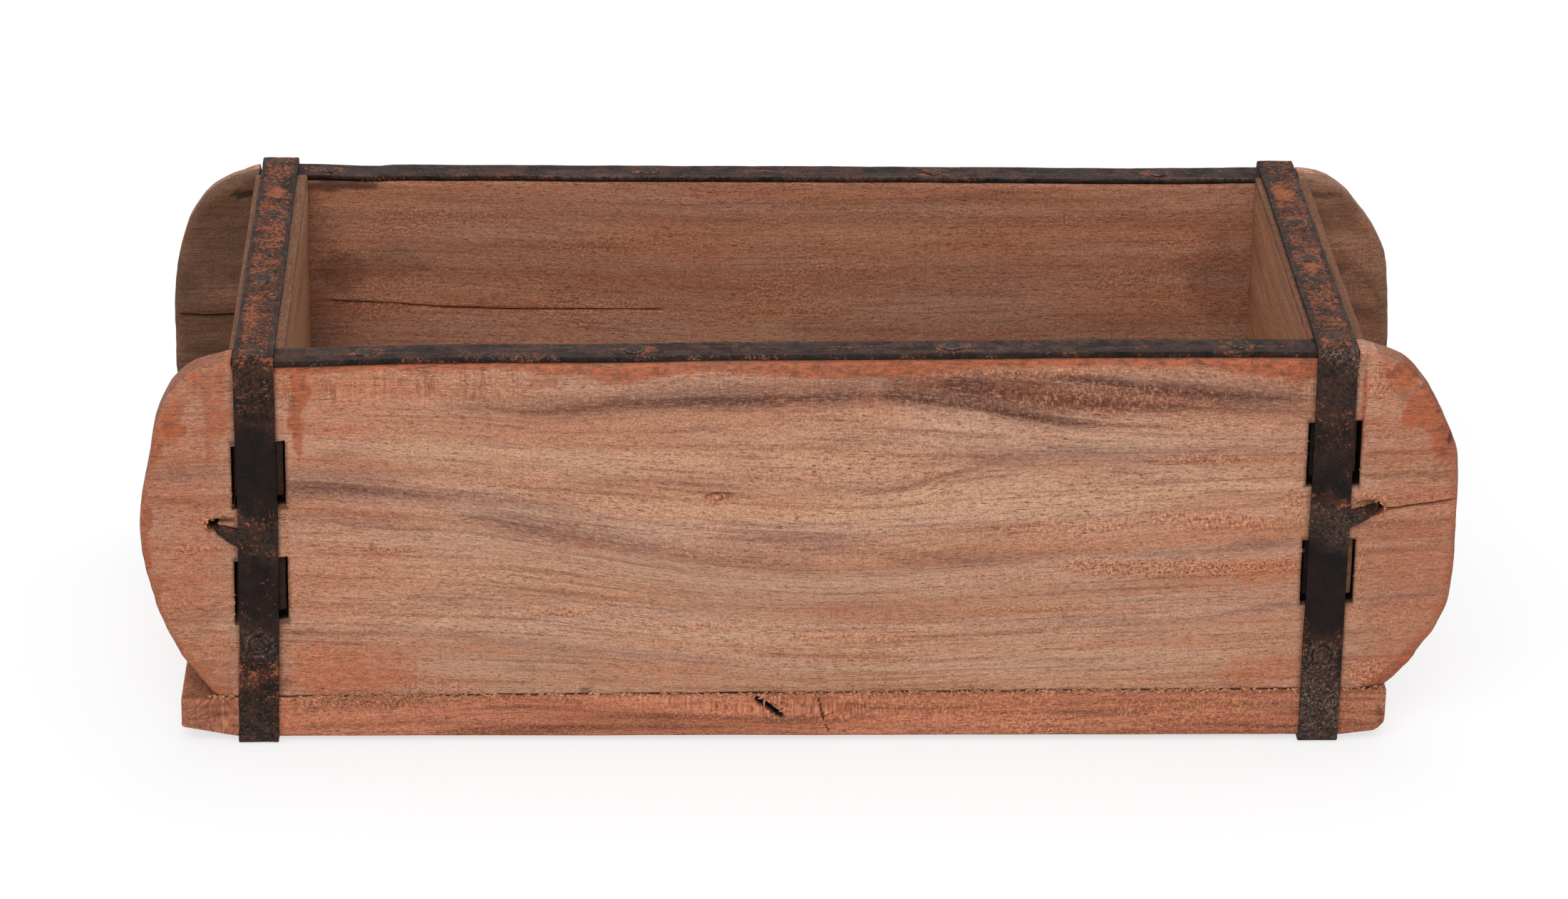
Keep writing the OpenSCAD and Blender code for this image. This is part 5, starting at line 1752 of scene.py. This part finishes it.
def rim_strip(side):
    """A rim strip: a flat bar along the board's top, slightly wavy, with a crusty outer edge."""
    node = f"{SIDE_WORDS[side]}_rim_strip"
    low, high = span(node)
    x = np.arange(low[0], high[0], STRIP_STEP)
    middle_z = (low[2] + high[2]) / 2
    path = np.column_stack([x, np.full_like(x, side * SIDE_MID_Y), np.full_like(x, middle_z)])
    out = np.broadcast_to([0.0, 0, 1], path.shape)
    across = np.broadcast_to([0.0, 1, 0], path.shape)
    widths = 1 + 0.02 * noise(path, 18, 90 + side, 2)
    rings = swept(path, out, across, bar_profile(high[1] - low[1] - 0.2, IRON_T), widths)
    rings = rusted(rings, path, out, across, 92 + side, 0.12)
    rings[..., 2] -= 0.12 * (1 + noise(path, 26, 94 + side, 2))[:, None]
    shell = Shell()
    shell.add_tube(rings)
    shell.hold(low, high)
    shell.settle()
    points = shell.all_points()
    y = points[:, 1] * side
    flecked = 0.42 + 0.45 * noise(points, (9, 1.2, 3), 95 + side, 3)
    for nail_x in RIM_NAIL_X[side]:
        reach = np.hypot((points[:, 0] - nail_x) / 5, (y - SIDE_MID_Y) / 3)
        flecked += 0.35 * (1 - ramp(reach + 0.6 * noise(points, 2, 96, 2), 0.4, 1.4))
    inner_edge = 1 - ramp(y, WALL_Y + 0.6, WALL_Y + 2.2)
    worn = 0.05 + 0.6 * noise(points, (14, 1.2, 3), 97 + side, 2) + 0.4 * inner_edge
    under = 1 - ramp(points[:, 2] - shift_at(*points.T), STRIP_Z - 1.2, STRIP_Z - 0.5)
    ragged_y = y + 0.5 * noise(points, (6, 9, 9), 100, 2)
    black = highest(
        0.85 * under, 0.7 * ramp(ragged_y, FACE_Y - 2.2, FACE_Y - 0.8),
        0.7 * ramp(noise(points, (11, 1.3, 3), 98 + side, 2), 0.1, 0.4),
    )
    outer_edge = ramp(y, FACE_Y - 1.4, FACE_Y - 0.5)
    salted = 0.7 * outer_edge * ramp(noise(points, (3, 3, 3), 99, 2), 0, 0.4)
    layers = iron_layers(points, flecked, worn, black, salted)
    make_piece(node, shell, strip_iron, "strip_iron", layers)


rim_strip(FRONT)
rim_strip(BACK)


# Kinds of nails: length, height of the head, how deep it is driven in, radius of the head, and the
# dish in its middle as a share of its height
NAIL_KINDS = {
    "rim": (16, 0.42, 0.1, HEAD_R, 0),
    "base": (25.5, 0.65, 0.12, HEAD_R, 0),
    "top": (14, 0.42, 0.16, HEAD_R, 0),
    "face": (25.5, 0.85, 0, FACE_HEAD_R, 0.6),
    "under": (7, 0.5, 0.05, HEAD_R, 0),
}
# Rings of a nail with its two poles, and points round it
NAIL_RINGS, NAIL_AROUND = 13, 20
# Heights of the countersunk heads' undersides: in the base, and in the bands' legs
BASE_NAIL_Z, UNDER_NAIL_Z = base_low[2] + 1, 0.55
UP, DOWN = (0, 0, 1), (0, 0, -1)


def nail_rings(place, out, seed, kind):
    """A nail turned round its axis: a hammered, slightly uneven head on a round shank with a point."""
    length, head_h, drop, head_r, dish = NAIL_KINDS[kind]
    profile = np.array([
        (head_r * 0.35, head_h * (1 - dish)), (head_r * 0.64, head_h * (0.95 - dish)),
        (head_r * 0.86, head_h * 0.85), (head_r, head_h * 0.4), (head_r, 0.06), (head_r * 0.9, -0.02),
        (SHANK_R, -0.05), (SHANK_R, -0.5 * length), (SHANK_R, 4.4 - length),
        (0.5 * SHANK_R, 1.6 - length), (0.12, -length),
    ])
    out = np.array(out, float)
    side = np.cross(out, (0, 1, 0) if abs(out[1]) < 0.5 else (1, 0, 0))
    other = np.cross(out, side)
    angle = np.linspace(0, 2 * math.pi, NAIL_AROUND, endpoint=False)
    circle = np.cos(angle)[:, None] * side + np.sin(angle)[:, None] * other
    uneven = 1 + 0.07 * noise(circle * 2 + seed, 1, seed, 2)
    head = profile[:, 1:] > -0.03
    radius = (profile[:, :1] * np.where(head, uneven, 1))[..., None]
    dent = np.where(head, 0.12, 0) * noise(circle * radius + 9.7 * seed, 1.4, seed, 2)
    height = profile[:, 1:] + np.where(profile[:, 1:] > 0.1, dent - 0.06, 0)
    return np.array(place, float) - drop * out + circle * radius + out * height[..., None]


def nails(word, kind, aims, first_seed):
    """A group of nails of one kind, each given as the place under its head and the way it points."""
    shell = Shell()
    for number, (place, out) in enumerate(aims):
        shell.add_tube(nail_rings(place, out, first_seed + number, kind))
    shell.settle()
    points = shell.all_points()
    ring = np.tile(np.repeat(np.arange(NAIL_RINGS), NAIL_AROUND + 1), len(aims))
    flecked = np.where(ring < 3, 0.62, 0.4) + 0.3 * noise(points, 3, first_seed, 2)
    worn = np.interp(ring, (0, 2, 3, 4, 5), (0.55, 0.3, 1, 0.8, 0))
    black = np.interp(ring, (0, 2, 3, 4, 5), (0, 0.5, 0, 0.2, 1))
    black += 0.2 * noise(points, 2.5, first_seed + 2, 2)
    salted = np.interp(ring, (2, 3, 4, 5), (0, 1, 0.6, 0))
    layers = iron_layers(points, flecked, worn, black, salted)
    make_piece(f"{word}_{kind}_nails", shell, nail_iron, "nail_iron", layers, 50)


for side, word in SIDE_WORDS.items():
    rim_aims = [((x, side * SIDE_MID_Y, STRIP_Z), UP) for x in RIM_NAIL_X[side]]
    nails(word, "rim", rim_aims, 200 + 20 * side)
    base_aims = [((x, side * SIDE_MID_Y, BASE_NAIL_Z), DOWN) for x in BASE_NAIL_X]
    nails(word, "base", base_aims, 300 + 20 * side)
for end, word in END_WORDS.items():
    top_aims = [((BAND_X[end], y, BAND_Z), UP) for y in TOP_NAIL_Y[end]]
    nails(word, "top", top_aims, 400 + 20 * end)
    nail_z = float(unsettled_height(BAND_X[end], -FACE_Y, FACE_NAIL_Z[end]))
    face_aims = [((BAND_X[end], side * BAND_Y, nail_z), (0, side, 0)) for side in (FRONT, BACK)]
    nails(word, "face", face_aims, 500 + 20 * end)
    under_aims = [((BAND_X[end], side * UNDER_NAIL_Y, UNDER_NAIL_Z), DOWN) for side in (FRONT, BACK)]
    nails(word, "under", under_aims, 600 + 20 * end)
end_aims = [((x, y, BASE_NAIL_Z), DOWN) for x, y in base_nail_places()[-4:]]
nails("end", "base", end_aims, 700)


# Floor and world: grey of the paint, its glow where it is seen, and the world's level as a light
FLOOR_GREY, FLOOR_GLOW, WORLD_LEVEL = 0.86, 0.7, 0.62
# Lamps: name, place, size and power
LAMPS = (("key", (-0.35, -1.5, 1.5), 1.3, 26), ("top", (0.3, 0.5, 1.9), 1.6, 16))
LAMP_TARGET = (0, 0, 0.05)


def sight(tree):
    """1 for a ray that the camera, a reflection or glass looks along, and else 0."""
    rays = tree.nodes.new("ShaderNodeLightPath")
    seen = rays.outputs["Is Camera Ray"]
    for ray_kind in ("Is Glossy Ray", "Is Transmission Ray"):
        most = tree.nodes.new("ShaderNodeMath")
        most.operation = "MAXIMUM"
        tree.links.new(seen, most.inputs[0])
        tree.links.new(rays.outputs[ray_kind], most.inputs[1])
        seen = most.outputs[0]
    return seen


def pale_floor():
    """A plain pale floor. Where it is seen it is mostly an even white glow, which lights nothing."""
    bpy.ops.mesh.primitive_plane_add(size=6, location=(0, 0, 0))
    floor = bpy.context.object
    floor.name = "floor"
    finish = Finish("floor_paint", roughness=0.9, specular=0.1)
    finish.shader.inputs["Base Color"].default_value = (FLOOR_GREY, FLOOR_GREY, FLOOR_GREY, 1)
    glow = finish.nodes.new("ShaderNodeEmission")
    glow.inputs["Strength"].default_value = 1
    blend = finish.nodes.new("ShaderNodeMixShader")
    finish.feed(blend.inputs[0], finish.times(sight(finish.material.node_tree), FLOOR_GLOW))
    finish.feed(blend.inputs[1], finish.shader.outputs[0])
    finish.feed(blend.inputs[2], glow.outputs[0])
    finish.feed(finish.nodes["Material Output"].inputs["Surface"], blend.outputs[0])
    floor.data.materials.append(finish.material)


def white_world():
    """An even world, white where it is seen and less as a light."""
    world = bpy.data.worlds.new("studio")
    bpy.context.scene.world = world
    world.use_nodes = True
    tree = world.node_tree
    background = tree.nodes["Background"]
    background.inputs["Color"].default_value = (1, 1, 1, 1)
    level = tree.nodes.new("ShaderNodeMapRange")
    level.inputs[3].default_value = WORLD_LEVEL
    level.inputs[4].default_value = 1
    tree.links.new(sight(tree), level.inputs[0])
    tree.links.new(level.outputs[0], background.inputs["Strength"])


def add_to_scene(name, data, right, up, back, place):
    """Puts a lamp or camera at a place, with its X, Y and Z axes along right, up and back."""
    holder = bpy.data.objects.new(name, data)
    bpy.context.scene.collection.objects.link(holder)
    rows = [[right[k], up[k], back[k], place[k]] for k in range(3)]
    holder.matrix_world = Matrix(rows + [[0, 0, 0, 1]])
    return holder


def soft_lamps():
    """Two large soft lamps that face the box."""
    for name, place, size, power in LAMPS:
        lamp = bpy.data.lights.new(name, "AREA")
        lamp.size = size
        lamp.energy = power
        back = np.array(place, float) - np.array(LAMP_TARGET, float)
        back /= np.linalg.norm(back)
        right = np.cross((0, 0, 1), back)
        right /= np.linalg.norm(right)
        add_to_scene(name, lamp, right, np.cross(back, right), back, place)


# The photograph's camera, fitted to the box's edges: place, turn, lens and sensor in millimetres
CAMERA_PLACE = (-0.04926, -1.25943, 0.57945)
CAMERA_YAW, CAMERA_PITCH, CAMERA_ROLL = math.radians(2.158), math.radians(22.859), math.radians(-0.847)
CAMERA_LENS, SENSOR_WIDTH = 127.51, 36
CLIP_START, CLIP_END = 0.05, 20


def photo_camera():
    """A camera that looks along +Y, turned right by the yaw, down by the pitch, then rolled."""
    level = math.cos(CAMERA_PITCH)
    ahead = np.array([
        math.sin(CAMERA_YAW) * level, math.cos(CAMERA_YAW) * level, -math.sin(CAMERA_PITCH),
    ])
    right = np.array([math.cos(CAMERA_YAW), -math.sin(CAMERA_YAW), 0])
    down = np.cross(ahead, right)
    turn, lean = math.cos(CAMERA_ROLL), math.sin(CAMERA_ROLL)
    data = bpy.data.cameras.new("photo_camera")
    data.lens = CAMERA_LENS
    data.sensor_fit = "HORIZONTAL"
    data.sensor_width = SENSOR_WIDTH
    data.clip_start = CLIP_START
    data.clip_end = CLIP_END
    across, up = turn * right + lean * down, lean * right - turn * down
    bpy.context.scene.camera = add_to_scene("photo_camera", data, across, up, -ahead, CAMERA_PLACE)


pale_floor()
white_world()
soft_lamps()
photo_camera()
bpy.context.scene.view_settings.view_transform = "Standard"
